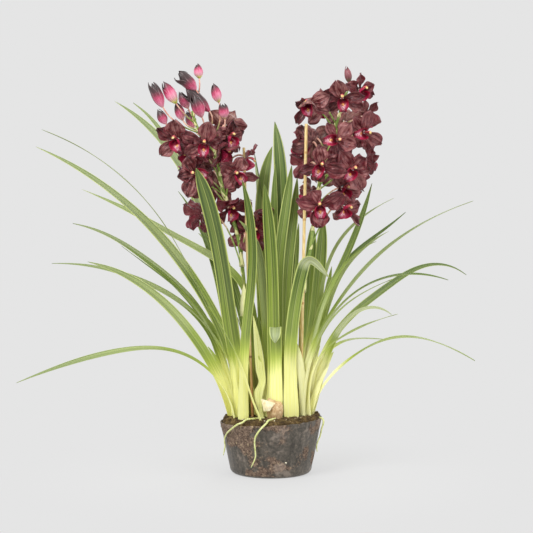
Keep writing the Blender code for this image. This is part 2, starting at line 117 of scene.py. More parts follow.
def cloud(tree, vector, scale, detail=4.0, roughness=0.55, distortion=0.0):
    """Noise from 0 to 1."""
    return add_node(tree, "TexNoise", {"Vector": vector, "Scale": scale, "Detail": detail,
                                       "Roughness": roughness, "Distortion": distortion}).outputs[0]


def attribute(tree, name):
    """A number stored on the piece's own points."""
    return add_node(tree, "Attribute", {}, attribute_name=name).outputs["Fac"]


def reckon(tree, operation, a, b=0.0, c=0.0):
    """One step of arithmetic on numbers or sockets."""
    return add_node(tree, "Math", {0: a, 1: b, 2: c}, operation=operation).outputs[0]


def times(tree, a, b):
    """A product."""
    return reckon(tree, "MULTIPLY", a, b)


def weigh(tree, first, first_weight, second, second_weight):
    """Two numbers added up, each times its weight."""
    return reckon(tree, "MULTIPLY_ADD", first, first_weight, times(tree, second, second_weight))


def stretch(tree, value, low, high):
    """0 below low, 1 above high, with a smooth step between."""
    return add_node(tree, "MapRange", {"Value": value, "From Min": low, "From Max": high},
                    interpolation_type="SMOOTHSTEP").outputs["Result"]


def ramp(tree, share, *stops):
    """A colour band: each stop is a place from 0 to 1 and a colour code."""
    made = add_node(tree, "ValToRGB", {"Fac": share})
    band = made.color_ramp.elements
    while len(band) < len(stops):
        band.new(0.5)
    for element, (place, code) in zip(band, stops):
        element.position = place
        element.color = tint(code)
    return made.outputs["Color"]


def blend(tree, share, first, second):
    """Two colours mixed by a share; a colour is a socket or a colour code."""
    first, second = (tint(colour) if isinstance(colour, str) else colour for colour in (first, second))
    return add_node(tree, "Mix", {0: share, 6: first, 7: second}, data_type="RGBA").outputs[2]


def end_finish(material, colour, height=None, depth=0.0):
    """Give a material its colour, and bump of a real depth in metres from a height of 0 to 1."""
    tree = material.node_tree
    shader = tree.nodes["Principled BSDF"]
    fill(tree, shader.inputs["Base Color"], colour)
    if depth:
        bump = add_node(tree, "Bump", {"Distance": depth, "Height": height})
        fill(tree, shader.inputs["Normal"], bump.outputs["Normal"])
    return material


def number_layer(shape, name):
    """A place to store a number on each point of a bmesh, for its finish to read."""
    return shape.verts.layers.float.new(name)


def add_piece(name, shape, finishes, slot, *nodes):
    """Make a bmesh a piece that rides on the plant's one body and stands for the CAD nodes named."""
    mesh = bpy.data.meshes.new(name)
    shape.to_mesh(mesh)
    shape.free()
    mesh.shade_smooth()
    for finish in finishes:
        mesh.materials.append(finish)
    piece = bpy.data.objects.new(name, mesh)
    bpy.context.scene.collection.objects.link(piece)
    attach(piece, "root")
    if nodes:
        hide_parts(*nodes)
    return piece


def turn_profile(profile, turns):
    """A closed body of revolution round Z from (radius, height) points that start and end on the axis."""
    shape = bmesh.new()
    corners = [shape.verts.new((radius, 0, height)) for radius, height in profile]
    edges = [shape.edges.new(pair) for pair in zip(corners, corners[1:])]
    bmesh.ops.spin(shape, geom=corners + edges, cent=(0, 0, 0), axis=(0, 0, 1), angle=2 * pi,
                   steps=turns, use_merge=True)
    bmesh.ops.remove_doubles(shape, verts=shape.verts, dist=0.00001)
    bmesh.ops.recalc_face_normals(shape, faces=shape.faces)
    return shape


def wall_radius(height):
    """Outer radius of the tapered wall."""
    return POT_RIM - POT_TAPER * (1 - height / POT_HEIGHT)


def rise(value, low, high):
    """Smooth step from 0 at low to 1 at high."""
    share = min(1.0, max(0.0, (value - low) / (high - low)))
    return share * share * (3 - 2 * share)


def pot_profile():
    """Up the outside, over the rim and down the inside to the floor."""
    foot = wall_radius(POT_FOOT_ROUNDING)
    profile = [(0, 0)]
    for step in range(POT_FOOT_STEPS + 1):
        angle = pi / 2 * step / POT_FOOT_STEPS
        profile.append((foot - POT_FOOT_ROUNDING * (1 - sin(angle)), POT_FOOT_ROUNDING * (1 - cos(angle))))
    for step in range(1, POT_ROWS):
        height = POT_FOOT_ROUNDING + (POT_HEIGHT - POT_FOOT_ROUNDING) * step / POT_ROWS
        profile.append((wall_radius(height), height))
    profile.append((POT_RIM - POT_WALL * 0.15, POT_HEIGHT))
    profile.append((POT_RIM - POT_WALL * 0.85, POT_HEIGHT))
    profile.append((POT_RIM - POT_WALL, POT_HEIGHT - POT_LIP))
    profile.append((foot - POT_WALL, POT_FOOT_ROUNDING))
    profile.append((0, POT_FLOOR))
    return profile


def earth_on_wall(place):
    """How much earth sticks to the wall at a place, from 0 to 1."""
    patches = noise.fractal(place * 26 + Vector((3.1, 0.4, 7.7)), 1.0, 2.0, 4)
    under_rim = 0.45 * rise(place.z, 0.75 * POT_HEIGHT, POT_HEIGHT)
    foot_line = 0.6 * (1 - rise(place.z, 0.002, 0.008))
    leftward = -EARTH_LEFTWARD * place.x
    rubbed = 0.9 * rise(-place.x, 0.035, 0.065) * (1 - rise(place.z, 0.030, 0.065))
    return rise(patches + under_rim + foot_line + leftward - rubbed, -0.05, 0.50)


def pot_shell():
    """The turned wall, dented, worn at the rim and crusted; it stores how much earth each point carries."""
    shell = turn_profile(pot_profile(), POT_TURNS)
    earth_layer = number_layer(shell, "earth")
    for corner in shell.verts:
        place = corner.co.copy()
        if place.xy.length < POT_MIDDLE:
            continue
        outward = Vector((place.x, place.y, 0)).normalized()
        lift = rise(place.z, 0.0, 0.012)
        corner.co += outward * noise.noise(place * 22) * POT_DENT * lift
        worn = noise.noise(outward * 9) * POT_RIM_WEAR + POT_RIM_SLOPE * place.x
        corner.co.z += worn * rise(place.z, 0.04, POT_HEIGHT)
        if place.xy.length > wall_radius(place.z) - POT_WALL / 2:
            earth = earth_on_wall(place)
            grit = noise.fractal(place * 420, 1.0, 2.0, 3)
            clear_rim = 1 - rise(place.z, 0.85 * POT_HEIGHT, POT_HEIGHT)
            corner.co += outward * POT_CRUST * earth * (0.35 + 0.65 * grit) * lift * clear_rim
            corner[earth_layer] = earth
    return shell


def pot_finish():
    """Slate-grey wall with faint upright streaks, under brown grains that lie thick in some places."""
    material, tree, shader = start_finish("earthy_pot", 0.5)
    grit = cloud(tree, on_object(tree), 430, 5, 0.8)
    clump = cloud(tree, on_object(tree), 230, 4, 0.6)
    blotch = cloud(tree, on_object(tree), 40, 4)
    streak = cloud(tree, on_object(tree, (110, 110, 10)), 1.0, 4, 0.6)
    straws = cloud(tree, on_object(tree, (1, 1, 0.5)), 330, 2, 0.5)
    wall = ramp(tree, weigh(tree, streak, 0.5, clump, 0.5),
                (0.36, "342f28"), (0.47, "4c463d"), (0.56, "60584e"), (0.68, "8a8074"))
    grains = ramp(tree, weigh(tree, grit, 0.6, clump, 0.4),
                  (0.40, "3c2f26"), (0.47, "685244"), (0.54, "8c7462"), (0.62, "bca486"))
    crumbled = reckon(tree, "MULTIPLY_ADD", reckon(tree, "ADD", grit, clump), 1.6, -1.6)
    earth = stretch(tree, reckon(tree, "ADD", attribute(tree, "earth"), crumbled), 0.15, 0.80)
    fill(tree, shader.inputs["Roughness"], reckon(tree, "MULTIPLY_ADD", earth, 0.45, 0.42))
    body = blend(tree, times(tree, earth, 0.85), wall, grains)
    body = blend(tree, times(tree, stretch(tree, blotch, 0.56, 0.68), 0.35), body, "b3a294")
    stuck = times(tree, stretch(tree, straws, 0.65, 0.72), reckon(tree, "ADD", earth, 0.12))
    body = blend(tree, times(tree, stuck, 0.7), body, "ccb88c")
    return end_finish(material, body, times(tree, grit, reckon(tree, "ADD", earth, 0.3)), 0.0014)


add_piece("pot_shell", pot_shell(), [pot_finish()], "earthy_pot", "pot")

# ================================================================ soil
# Dark, crumbly potting mix, heaped a little above the rim round the plants. A turned plug with a lumpy top,
# with loose crumbs, thin root fibres and straws, and puffed white grains lying about on it.

SOIL_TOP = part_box("soil")[1].z
SOIL_BELOW_RIM = 0.0025
SOIL_GAP = 0.0003            # gap between the plug and the pot
SOIL_AT_WALL = POT_HEIGHT - SOIL_BELOW_RIM
SOIL_RADIUS = wall_radius(SOIL_AT_WALL) - POT_WALL - SOIL_GAP
SOIL_SHOULDER = 0.0058       # how far in from the wall the heap levels off
SOIL_RINGS = 46
SOIL_TURNS = 180
SOIL_LUMP = 0.0022
SOIL_SLOPE = 0.004           # the heap is this much higher at the right
CRUMBS = 1500
RIM_CRUMBS = 750             # crumbs that lie along the rim and hide its edge
CRUMB_BATCH = 30             # crumbs made at a time
CRUMB_SIZES = (0.0005, 0.0017)
FIBRES = 170
FIBRE_LENGTHS = (0.004, 0.013)
FIBRE_ARCH = 0.0012
FIBRE_RADIUS = 0.00022
PERLITE = 34                 # puffed white grains
PERLITE_SIZES = (0.0009, 0.0014)
WALL_GRAIN = (0.0241, 0.0274)        # across and up: a grain stuck low on the front of the wall
WALL_GRAIN_RADIUS = 0.0019


def soil_height(x, y):
    """Top of the soil at a place."""
    lumps = noise.fractal(Vector((x, y, 0.3)) * 95, 1.0, 2.0, 4)
    inward = min(1.0, (SOIL_RADIUS - (x * x + y * y) ** 0.5) / SOIL_SHOULDER)
    heap = SOIL_AT_WALL + (SOIL_TOP - SOIL_AT_WALL) * (1 - (1 - inward) ** 2)
    slope = SOIL_SLOPE * rise(x, 0.02, 0.075) + POT_RIM_SLOPE * x * (1 - inward)
    return heap + slope + SOIL_LUMP * lumps * (0.35 + 0.65 * inward)


def soil_plug():
    """The plug down to the pot's floor, its flat top turned in rings and then heaped."""
    profile = [(0, POT_FLOOR + SOIL_GAP),
               (wall_radius(POT_FOOT_ROUNDING) - 0.008, POT_FLOOR + 2 * SOIL_GAP)]
    profile += [(SOIL_RADIUS * (1 - step / SOIL_RINGS), SOIL_TOP) for step in range(SOIL_RINGS)]
    profile.append((0, SOIL_TOP))
    plug = turn_profile(profile, SOIL_TURNS)
    for corner in plug.verts:
        if corner.co.z > SOIL_TOP - 0.001:
            corner.co.z = soil_height(corner.co.x, corner.co.y)
    return plug


def scattered(draw, reach):
    """A place on the soil, evenly spread over it."""
    radius = reach * draw.random() ** 0.5
    angle = draw.uniform(0, 2 * pi)
    return radius * cos(angle), radius * sin(angle)


def soil_crumbs():
    """Flattened grains over the whole heap and along its edge, poured together batch by batch."""
    draw = Random("crumbs")
    crumbs, batch = bmesh.new(), bmesh.new()
    for number in range(CRUMBS + RIM_CRUMBS):
        if number < CRUMBS:
            x, y = scattered(draw, SOIL_RADIUS - 0.001)
        else:
            angle, radius = draw.uniform(0, 2 * pi), SOIL_RADIUS + draw.uniform(-0.005, 0.0016)
            x, y = radius * cos(angle), radius * sin(angle)
        size = draw.uniform(*CRUMB_SIZES)
        grain = bmesh.ops.create_icosphere(batch, subdivisions=1, radius=size)["verts"]
        turn = Matrix.Rotation(draw.uniform(0, pi), 3, draw.choice("XYZ"))
        bmesh.ops.scale(batch, verts=grain, vec=(1, draw.uniform(0.6, 1), draw.uniform(0.4, 0.9)))
        bmesh.ops.rotate(batch, verts=grain, matrix=turn)
        bmesh.ops.translate(batch, verts=grain, vec=(x, y, soil_height(x, y) + size * 0.3))
        if number % CRUMB_BATCH == CRUMB_BATCH - 1:
            poured = bpy.data.meshes.new("crumb_batch")
            batch.to_mesh(poured)
            crumbs.from_mesh(poured)
            bpy.data.meshes.remove(poured)
            batch.clear()
    return crumbs


def rod(shape, path, radii, sides):
    """A closed tube along a path, added to a bmesh: a ring is extruded from point to point."""
    edges = []
    normal = Vector((1, 0, 0)) if abs((path[1] - path[0]).normalized().x) < 0.8 else Vector((0, 1, 0))
    for step, (place, radius) in enumerate(zip(path, radii)):
        before = path[max(step - 1, 0)]
        after = path[min(step + 1, len(path) - 1)]
        tangent = (after - before).normalized()
        normal = (normal - tangent * normal.dot(tangent)).normalized()
        across = tangent.cross(normal)
        if edges:
            made = bmesh.ops.extrude_edge_only(shape, edges=edges)["geom"]
            ring = [corner for corner in made if isinstance(corner, bmesh.types.BMVert)]
            edges = [edge for edge in made if isinstance(edge, bmesh.types.BMEdge)]
        else:
            ring = bmesh.ops.create_circle(shape, cap_ends=True, segments=sides, radius=1)["verts"]
            edges = list({edge for corner in ring for edge in corner.link_edges})
        for number, corner in enumerate(ring):
            angle = 2 * pi * number / sides
            corner.co = place + (normal * cos(angle) + across * sin(angle)) * radius
    bmesh.ops.edgenet_fill(shape, edges=edges)


def soil_fibres():
    """Short crooked threads that arch over the crumbs."""
    draw = Random("fibres")
    fibres = bmesh.new()
    for _ in range(FIBRES):
        x, y = scattered(draw, SOIL_RADIUS - 0.006)
        heading = draw.uniform(0, 2 * pi)
        length = draw.uniform(*FIBRE_LENGTHS)
        path = []
        for step in range(5):
            path.append(Vector((x, y, soil_height(x, y) + 0.0004 + FIBRE_ARCH * sin(step * pi / 4))))
            heading += draw.uniform(-0.5, 0.5)
            x += length / 4 * cos(heading)
            y += length / 4 * sin(heading)
        rod(fibres, path, [FIBRE_RADIUS] * 5, sides=4)
    bmesh.ops.recalc_face_normals(fibres, faces=fibres.faces)
    return fibres


def perlite_grains():
    """Puffed white grains mixed into the soil, and one stuck to the wall."""
    draw = Random("perlite")
    x, z = WALL_GRAIN
    places = [Vector((x, -(wall_radius(z) ** 2 - x * x) ** 0.5, z))]
    for _ in range(PERLITE):
        x, y = scattered(draw, SOIL_RADIUS - 0.002)
        places.append(Vector((x, y, soil_height(x, y))))
    grains = bmesh.new()
    for place in places:
        radius = WALL_GRAIN_RADIUS if place is places[0] else draw.uniform(*PERLITE_SIZES)
        grain = bmesh.ops.create_icosphere(grains, subdivisions=1, radius=radius)["verts"]
        bmesh.ops.scale(grains, verts=grain, vec=(1, draw.uniform(0.6, 1), draw.uniform(0.6, 0.9)))
        bmesh.ops.translate(grains, verts=grain, vec=place)
    return grains


def soil_finish():
    """Near-black to tan, grain by grain and clod by clod."""
    material, tree, _ = start_finish("soil", 0.95)
    grain = cloud(tree, on_object(tree), 900, 4, 0.7)
    clod = cloud(tree, on_object(tree), 120, 3)
    body = ramp(tree, weigh(tree, grain, 0.55, clod, 0.45),
                (0.36, "1e1608"), (0.46, "48361c"), (0.55, "6e5832"), (0.66, "a8905c"))
    return end_finish(material, body, grain, 0.0008)


def mottled_finish(name, roughness, scale, *stops, detail=3, grit=0.55, depth=0.0):
    """Colours that change with a fine mottle, which also stands out by a depth."""
    material, tree, _ = start_finish(name, roughness)
    mottle = cloud(tree, on_object(tree), scale, detail, grit)
    return end_finish(material, ramp(tree, mottle, *stops), mottle, depth)


soil_look = soil_finish()
straw_look = mottled_finish("soil_fibre", 0.8, 60, (0.35, "54402c"), (0.65, "a58c66"), detail=2)
perlite_look = mottled_finish("perlite", 0.8, 700, (0.35, "d8ccaa"), (0.65, "fffbe6"))
add_piece("soil_perlite", perlite_grains(), [perlite_look], "soil")
add_piece("soil_plug", soil_plug(), [soil_look], "soil", "soil")
add_piece("soil_crumbs", soil_crumbs(), [soil_look], "soil")
add_piece("soil_fibres", soil_fibres(), [straw_look], "soil")

# ================================================================ leaves
# Long strap leaves, cream-yellow where the soil's shade bleached them and dark green above, each folded
# along its midrib. A grid is laid along each midrib, then given a thickness and rounded off. The thin
# young leaves and the short sheaths at the foot of each clump are made the same way.

LEAF_THICKNESS = 0.0008
LEAF_STEPS = 26              # rows of faces along a blade
LEAF_COLUMNS = 6
MIDRIB_PARTS = 3             # finer parts of each row, over which the lean is summed
LEAF_SUNK = 0.006            # how far a leaf's foot goes into the soil
LEAF_FOOT_WIDTH = 0.8        # width at the foot, as a share of the full width
LEAF_FULL_WIDTH_AT = 0.3     # share of the length at which the blade reaches its full width
LEAF_TAPER_START = 0.55      # share of the length at which it starts to narrow
LEAF_TIP_WIDTH = 0.0007
LEAF_FLARE = 0.45            # how much wider a leaf is where it wraps the others at the foot
LEAF_FLARE_LENGTH = 0.085
LEAF_FOLD = 0.14             # how far the margins stand forward of the midrib, as a share of the half width
LEAF_FOOT_FOLD = 0.30        # how much further they do at the foot,
LEAF_FOOT_SHARE = 0.35       # which fades out over this share of the length
LEAF_RIPPLE = 0.0006
GREEN_FROM = 0.098           # distance from the foot at which cream turns to green
GREEN_WANDER = 0.016         # how much that differs from leaf to leaf
GREEN_RANGE = 0.038
RIGHT_CREAM = 0.018          # how much higher the cream reaches in the right clump
RIGHT_CLUMP = (42, 56)       # the right clump begins between these places across (mm)
BACK_SHADE = (8, 60)         # painted shade: feet are painted the more olive, the further back they stand between these places (mm)
INNER_SHADE = 0.6            # the most they get inside the clumps, and
OPEN_SHADE = 0.1             # further right than OPEN_FROM (mm), where more light reaches them
OPEN_FROM = 35
BROAD_WIDTHS = (8, 19)       # the margins and keel show more between these widths (mm)
FOOT_CREAM = "fafa9e"
FOOT_YELLOW = "f4f28c"
FOOT_GREEN = "b4c450"        # above the cream, before the blade's own green
FOOT_PAINTED_SHADE = "8a8c34"        # painted shade: the olive of the feet inside the clumps

# Where a leaf turns its pale underside up: from and to, as shares of its length, and how strongly.
UPRIGHT_PALE = (2.0, 3.0, 0.0)
ARCHING_PALE = (0.45, 2.0, 0.30)
ARCHING_LEAN = 60            # lean of its tip from which a leaf counts as arching, in degrees

# Leaves with a look of their own: tone runs from about 0 for a dark blade to 1 for a bright one, shade is
# how olive the foot is painted as shade, pale is as above, and fold is where the leaf folds over: from and
# to, as shares of its length, and by what angle (degrees).
OWN_LOOKS = {
    "leaf_left_02": {"tone": 0.5},
    "leaf_left_03": {"tone": 0.2},
    "leaf_left_09": {"tone": 0.0, "shade": 0.05, "pale": (0.45, 2.0, 0.06)},
    "leaf_left_10": {"tone": 0.05, "shade": 0.35},
    "leaf_centre_01": {"shade": 1.0},
    "leaf_centre_02": {"tone": 0.35, "shade": 0.12},
    "leaf_centre_03": {"shade": 0.1},
    "leaf_centre_04": {"tone": 1.0, "shade": 1.0},
    "leaf_centre_05": {"tone": 0.7},
    "leaf_centre_07": {"shade": 0.12, "pale": (0.79, 2.0, 1.0), "fold": (0.80, 0.885, 112)},
    "leaf_right_01": {"tone": 0.6},
    "leaf_right_02": {"tone": 0.4},
    "leaf_right_03": {"tone": 0.4},
    "leaf_right_07": {"tone": -0.1, "pale": (0.5, 2.0, 0.05)},
    "leaf_right_08": {"pale": (0.1, 0.5, 0.6)},
    "leaf_right_09": {"pale": (0.55, 2.0, 0.85)},
    "leaf_thin_11": {"tone": 0.9},
    "leaf_thin_13": {"tone": 0.0, "pale": (0.78, 2.0, 0.5)},
    "leaf_thin_14": {"tone": 0.0},
    "leaf_thin_16": {"pale": (0.1, 0.6, 0.4)},
    "leaf_thin_19": {"pale": (0.1, 0.6, 0.5)},
    "sheath_left_03": {"shade": 0.5},
    "sheath_left_06": {"shade": 1.0},
    "sheath_left_07": {"shade": 1.0},
    "sheath_centre_03": {"shade": 1.0},
}

# Each leaf: name, foot x and y (mm), compass direction it leans to (degrees from +X towards +Y),
# length (mm), lean from upright at five places from foot to tip (degrees), width (mm), the roll of
# the blade round its midrib at the foot and at the tip (degrees), and how blunt the tip is.
LEAVES = (
    ("leaf_left_01", -62, -35, 204, 429, (10, 52, 90, 104, 111), 10, -16, -70, 2),
    ("leaf_left_02", -64, -3, 198, 376, (16, 30, 41, 57, 78), 18, -89, -50, 2),
    ("leaf_left_03", -60, 27, 160, 491, (17, 21, 49, 59, 80), 13, -60, -40, 2),
    ("leaf_left_04", -52, 6, 186, 599, (1, 24, 38, 52, 67), 22, -74, -30, 2),
    ("leaf_left_05", -51, 41, 165, 579, (-13, -1, 57, 62, 69), 15, -50, -40, 2),
    ("leaf_left_06", -61, -17, 204, 604, (3, 22, 30, 51, 73), 6, -30, -10, 2),
    ("leaf_left_07", -48, 59, 147, 669, (10, 13, 20, 43, 63), 16, -55, -50, 3),
    ("leaf_left_08", -30, 66, 140, 669, (0, 18, 33, 33, 61), 15, -50, -30, 3),
    ("leaf_left_09", -54, -13, 238, 434, (-3, 15, 14, 22, 36), 26, 30, 30, 8),
    ("leaf_left_10", -46, -59, 215, 399, (1, -3, -8, 4, 19), 16, 52, 40, 5),
    ("leaf_centre_01", -5, -7, 225, 349, (-5, 3, 7, 13, 62), 16, 40, 50, 4),
    ("leaf_centre_02", 2, -31, 250, 394, (-5, -1, 4, 12, 22), 21, 20, 20, 5),
    ("leaf_centre_03", 14, 27, 115, 509, (-3, -1, -2, 3, 22), 24, -25, -25, 6),
    ("leaf_centre_04", -8, 58, 60, 474, (1, -4, -5, 5, 34), 23, 30, 30, 6),
    ("leaf_centre_05", 15, -8, 40, 429, (-3, -1, 1, 11, 9), 18, 50, 50, 6),
    ("leaf_centre_06", 28, 7, 40, 409, (-6, -1, 4, 9, 6), 18, 50, 60, 5),
    ("leaf_centre_07", 34, -30, -20, 323, (-3, 0, 7, 15, 30), 22, 112, 126, 6),
    ("leaf_right_01", 49, 42, 55, 353, (21, 17, 13, 9, 6), 22, 40, 35, 6),
    ("leaf_right_02", 41, 66, 65, 347, (30, 20, 11, 8, 7), 22, 30, 25, 6),
    ("leaf_right_03", 62, 8, 12, 419, (5, 5, 26, 23, 15), 12, 60, 70, 4),
    ("leaf_right_04", 67, 42, 35, 464, (4, 7, 16, 52, 70), 7, 40, 30, 2),
    ("leaf_right_05", 66, 27, 35, 454, (-9, 11, 33, 59, 56), 8, 50, 40, 3),
    ("leaf_right_06", 54, -14, -20, 494, (-10, 25, 39, 57, 73), 9, 69, 30, 2),
    ("leaf_right_07", 67, -4, 8, 424, (0, 25, 51, 63, 130), 13, 60, 50, 2),
    ("leaf_right_08", 57, -32, -30, 409, (-4, 18, 45, 77, 109), 10, 59, 20, 2),
    ("leaf_right_09", 64, -13, -10, 261, (22, 15, 24, 56, 133), 13, 69, 40, 2),
    ("leaf_right_10", 67, -35, -25, 264, (-10, 11, 50, 66, 75), 8, 49, 20, 2),
    ("leaf_right_11", 67, 10, 25, 230, (6, 11, 49, 86, 96), 8, 39, 20, 2),
    ("leaf_right_12", 67, -25, -22, 349, (11, 44, 65, 102, 121), 7, 58, 10, 2),
)

# Thinner leaves that stand between the others, in the same terms.
THIN_LEAVES = (
    ("leaf_thin_01", -61, 18, 178, 457, (12, 22, 56, 74, 92), 9, -60, -70, 2),
    ("leaf_thin_02", -59, 11, 172, 371, (12, 18, 36, 50, 59), 9, -60, -60, 2),
    ("leaf_thin_03", -58, 34, 140, 425, (-1, 14, 15, 29, 48), 12, -50, -40, 2),
    ("leaf_thin_04", -42, 34, 120, 385, (23, 12, 23, 45, 70), 12, -40, -30, 3),
    ("leaf_thin_05", -62, 22, 165, 193, (18, 12, 10, 27, 55), 10, -60, -50, 2),
    ("leaf_thin_06", -14, 45, 95, 525, (6, 8, 14, 34, 68), 9, 0, 10, 3),
    ("leaf_thin_07", 24, 40, 60, 335, (4, 7, 9, 11, 13), 14, 40, 40, 4),
    ("leaf_thin_08", 8, 10, 60, 310, (6, 11, 15, 16, 15), 14, 40, 30, 4),
    ("leaf_thin_09", 64, 52, 40, 405, (-2, 19, 25, 53, 70), 9, 40, 30, 2),
    ("leaf_thin_10", 63, -6, 0, 108, (6, 6, 8, 21, 44), 9, 60, 40, 2),
    ("leaf_thin_11", 66, 50, 40, 260, (4, 10, 15, 15, 13), 12, 40, 40, 4),
    ("leaf_thin_12", -18, -63, 183, 208, (26, 17, 22, 30, 34), 9, 20, 10, 2),
    ("leaf_thin_13", 8, -37, 268, 208, (0, 0, -3, 60, 185), 20, 0, 0, 18),
    ("leaf_thin_14", 10, 42, 175, 452, (0, 2, 4, 8, 12), 8, 20, 20, 2),
    ("leaf_thin_15", -28, -6, 180, 170, (2, 6, 10, 14, 16), 12, 10, 0, 3),
    ("leaf_thin_16", -58, 6, 182, 364, (5, 20, 35, 52, 53), 3, -60, -60, 2),
    ("leaf_thin_17", -58, -10, 190, 295, (-9, 18, 36, 53, 64), 3, -60, -60, 2),
    ("leaf_thin_18", 60, 0, 10, 310, (-19, 17, 32, 58, 71), 3, 60, 60, 2),
    ("leaf_thin_19", 59, -12, 14, 342, (-10, 12, 17, 35, 71), 6, 60, 60, 2),
    ("leaf_thin_20", 4, 12, 0, 430, (0, 0, 0, 1, 2), 16, 70, 70, 4),
)

# Short sheaths that wrap the foot of each clump, in the same terms.
SHEATHS = (
    ("sheath_right_09", 57, -25, 180, 128, (2, 4, 7, 9, 10), 13, 95, 90, 3),
    ("sheath_left_01", -60, -22, 200, 130, (10, 16, 20, 28, 38), 10, -60, -50, 3),
    ("sheath_left_02", -58, -30, 230, 105, (-2, 4, 8, 12, 18), 10, -10, 0, 3),
    ("sheath_left_03", -47, -26, 300, 90, (-6, 0, 4, 6, 10), 9, 30, 30, 3),
    ("sheath_left_04", -60, 16, 180, 170, (-4, 4, 10, 16, 26), 16, -80, -60, 4),
    ("sheath_left_05", -42, 14, 60, 150, (-4, 0, 2, 4, 8), 16, 40, 40, 4),
    ("sheath_left_06", -36, 4, 100, 190, (-2, 0, 1, 2, 3), 16, 20, 20, 4),
    ("sheath_left_07", -22, 12, 80, 170, (-2, 0, 1, 2, 3), 18, 10, 10, 4),
    ("sheath_centre_01", -12, -16, 225, 105, (-6, 2, 8, 12, 16), 11, 30, 30, 3),
    ("sheath_centre_02", -2, 20, 120, 180, (-4, -1, 1, 3, 6), 16, -20, -20, 4),
    ("sheath_centre_03", 24, -18, 280, 130, (-4, -1, 1, 2, 4), 15, 10, 0, 4),
    ("sheath_centre_04", 32, 26, 60, 180, (-4, 0, 2, 4, 8), 16, 30, 30, 4),
    ("sheath_right_01", 50, -16, 315, 100, (-4, 0, 4, 6, 8), 10, 40, 40, 3),
    ("sheath_right_02", 60, -24, 320, 125, (-2, 8, 14, 18, 24), 9, 50, 50, 3),
    ("sheath_right_03", 65, -23, 338, 96, (12, 17, 20, 26, 32), 9, 60, 60, 3),
    ("sheath_right_04", 62, 26, 40, 160, (-4, 2, 8, 12, 18), 16, 50, 40, 4),
    ("sheath_right_05", 67, 2, 5, 116, (12, 15, 18, 26, 34), 11, 80, 70, 3),
)


def cubic(a, b, c, d, t):
    """A smooth step from b to c, which heads in from a and out to d."""
    return 0.5 * (2 * b + (c - a) * t + (2 * a - 5 * b + 4 * c - d) * t ** 2
                  + (3 * b - a - 3 * c + d) * t ** 3)


def lean_at(name, leans, share):
    """A leaf's lean from upright (radians) at a share of its length, its fold included."""
    stretches = len(leans) - 1
    ends = (2 * leans[0] - leans[1],) + leans + (2 * leans[-1] - leans[-2],)
    i = min(int(share * stretches), stretches - 1)
    start, end, angle = OWN_LOOKS.get(name, {}).get("fold", (0.0, 1.0, 0))
    return radians(cubic(*ends[i:i + 4], share * stretches - i)) + radians(angle) * rise(share, start, end)


def midrib(row):
    """Points of a leaf's midrib, with the blade's sideways and upward directions at each."""
    name, x, y, heading, length, leans, _, roll_foot, roll_tip, _ = row
    across = Vector((cos(radians(heading)), sin(radians(heading)), 0))
    level = Vector((-across.y, across.x, 0))
    place = Vector((x / 1000, y / 1000, SOIL_TOP))
    points = []
    for i in range(LEAF_STEPS + 1):
        share = i / LEAF_STEPS
        lean = lean_at(name, leans, share)
        tangent = across * sin(lean) + Vector((0, 0, cos(lean)))
        side = Matrix.Rotation(radians(roll_foot + (roll_tip - roll_foot) * share), 3, tangent) @ level
        points.append((place.copy(), side, tangent.cross(side)))
        for part in range(MIDRIB_PARTS):
            lean = lean_at(name, leans, min(1.0, (i + (part + 0.5) / MIDRIB_PARTS) / LEAF_STEPS))
            tangent = across * sin(lean) + Vector((0, 0, cos(lean)))
            place += tangent * length / 1000 / LEAF_STEPS / MIDRIB_PARTS
    return points


def blade_width(share, width, bluntness):
    """Full width of a blade at a share of its length; a tip of bluntness 2 narrows slowly to a point."""
    if share < LEAF_TAPER_START:
        return width * min(1.0, LEAF_FOOT_WIDTH + (1 - LEAF_FOOT_WIDTH) * share / LEAF_FULL_WIDTH_AT)
    taper_share = (share - LEAF_TAPER_START) / (1 - LEAF_TAPER_START)
    return max(LEAF_TIP_WIDTH, width * (1 - taper_share ** bluntness))


def sheet(shape, columns, rows):
    """A grid from -1 to 1 across and 0 to 1 along, added to a bmesh with those numbers as its grain map."""
    grain = shape.loops.layers.uv.get("grain") or shape.loops.layers.uv.new("grain")
    corners = bmesh.ops.create_grid(shape, x_segments=columns, y_segments=rows, size=1.0)["verts"]
    for corner in corners:
        corner.co.y = (corner.co.y + 1) / 2
    for face in {face for corner in corners for face in corner.link_faces}:
        for loop in face.loops:
            loop[grain].uv = (loop.vert.co.x, loop.vert.co.y)
    return corners


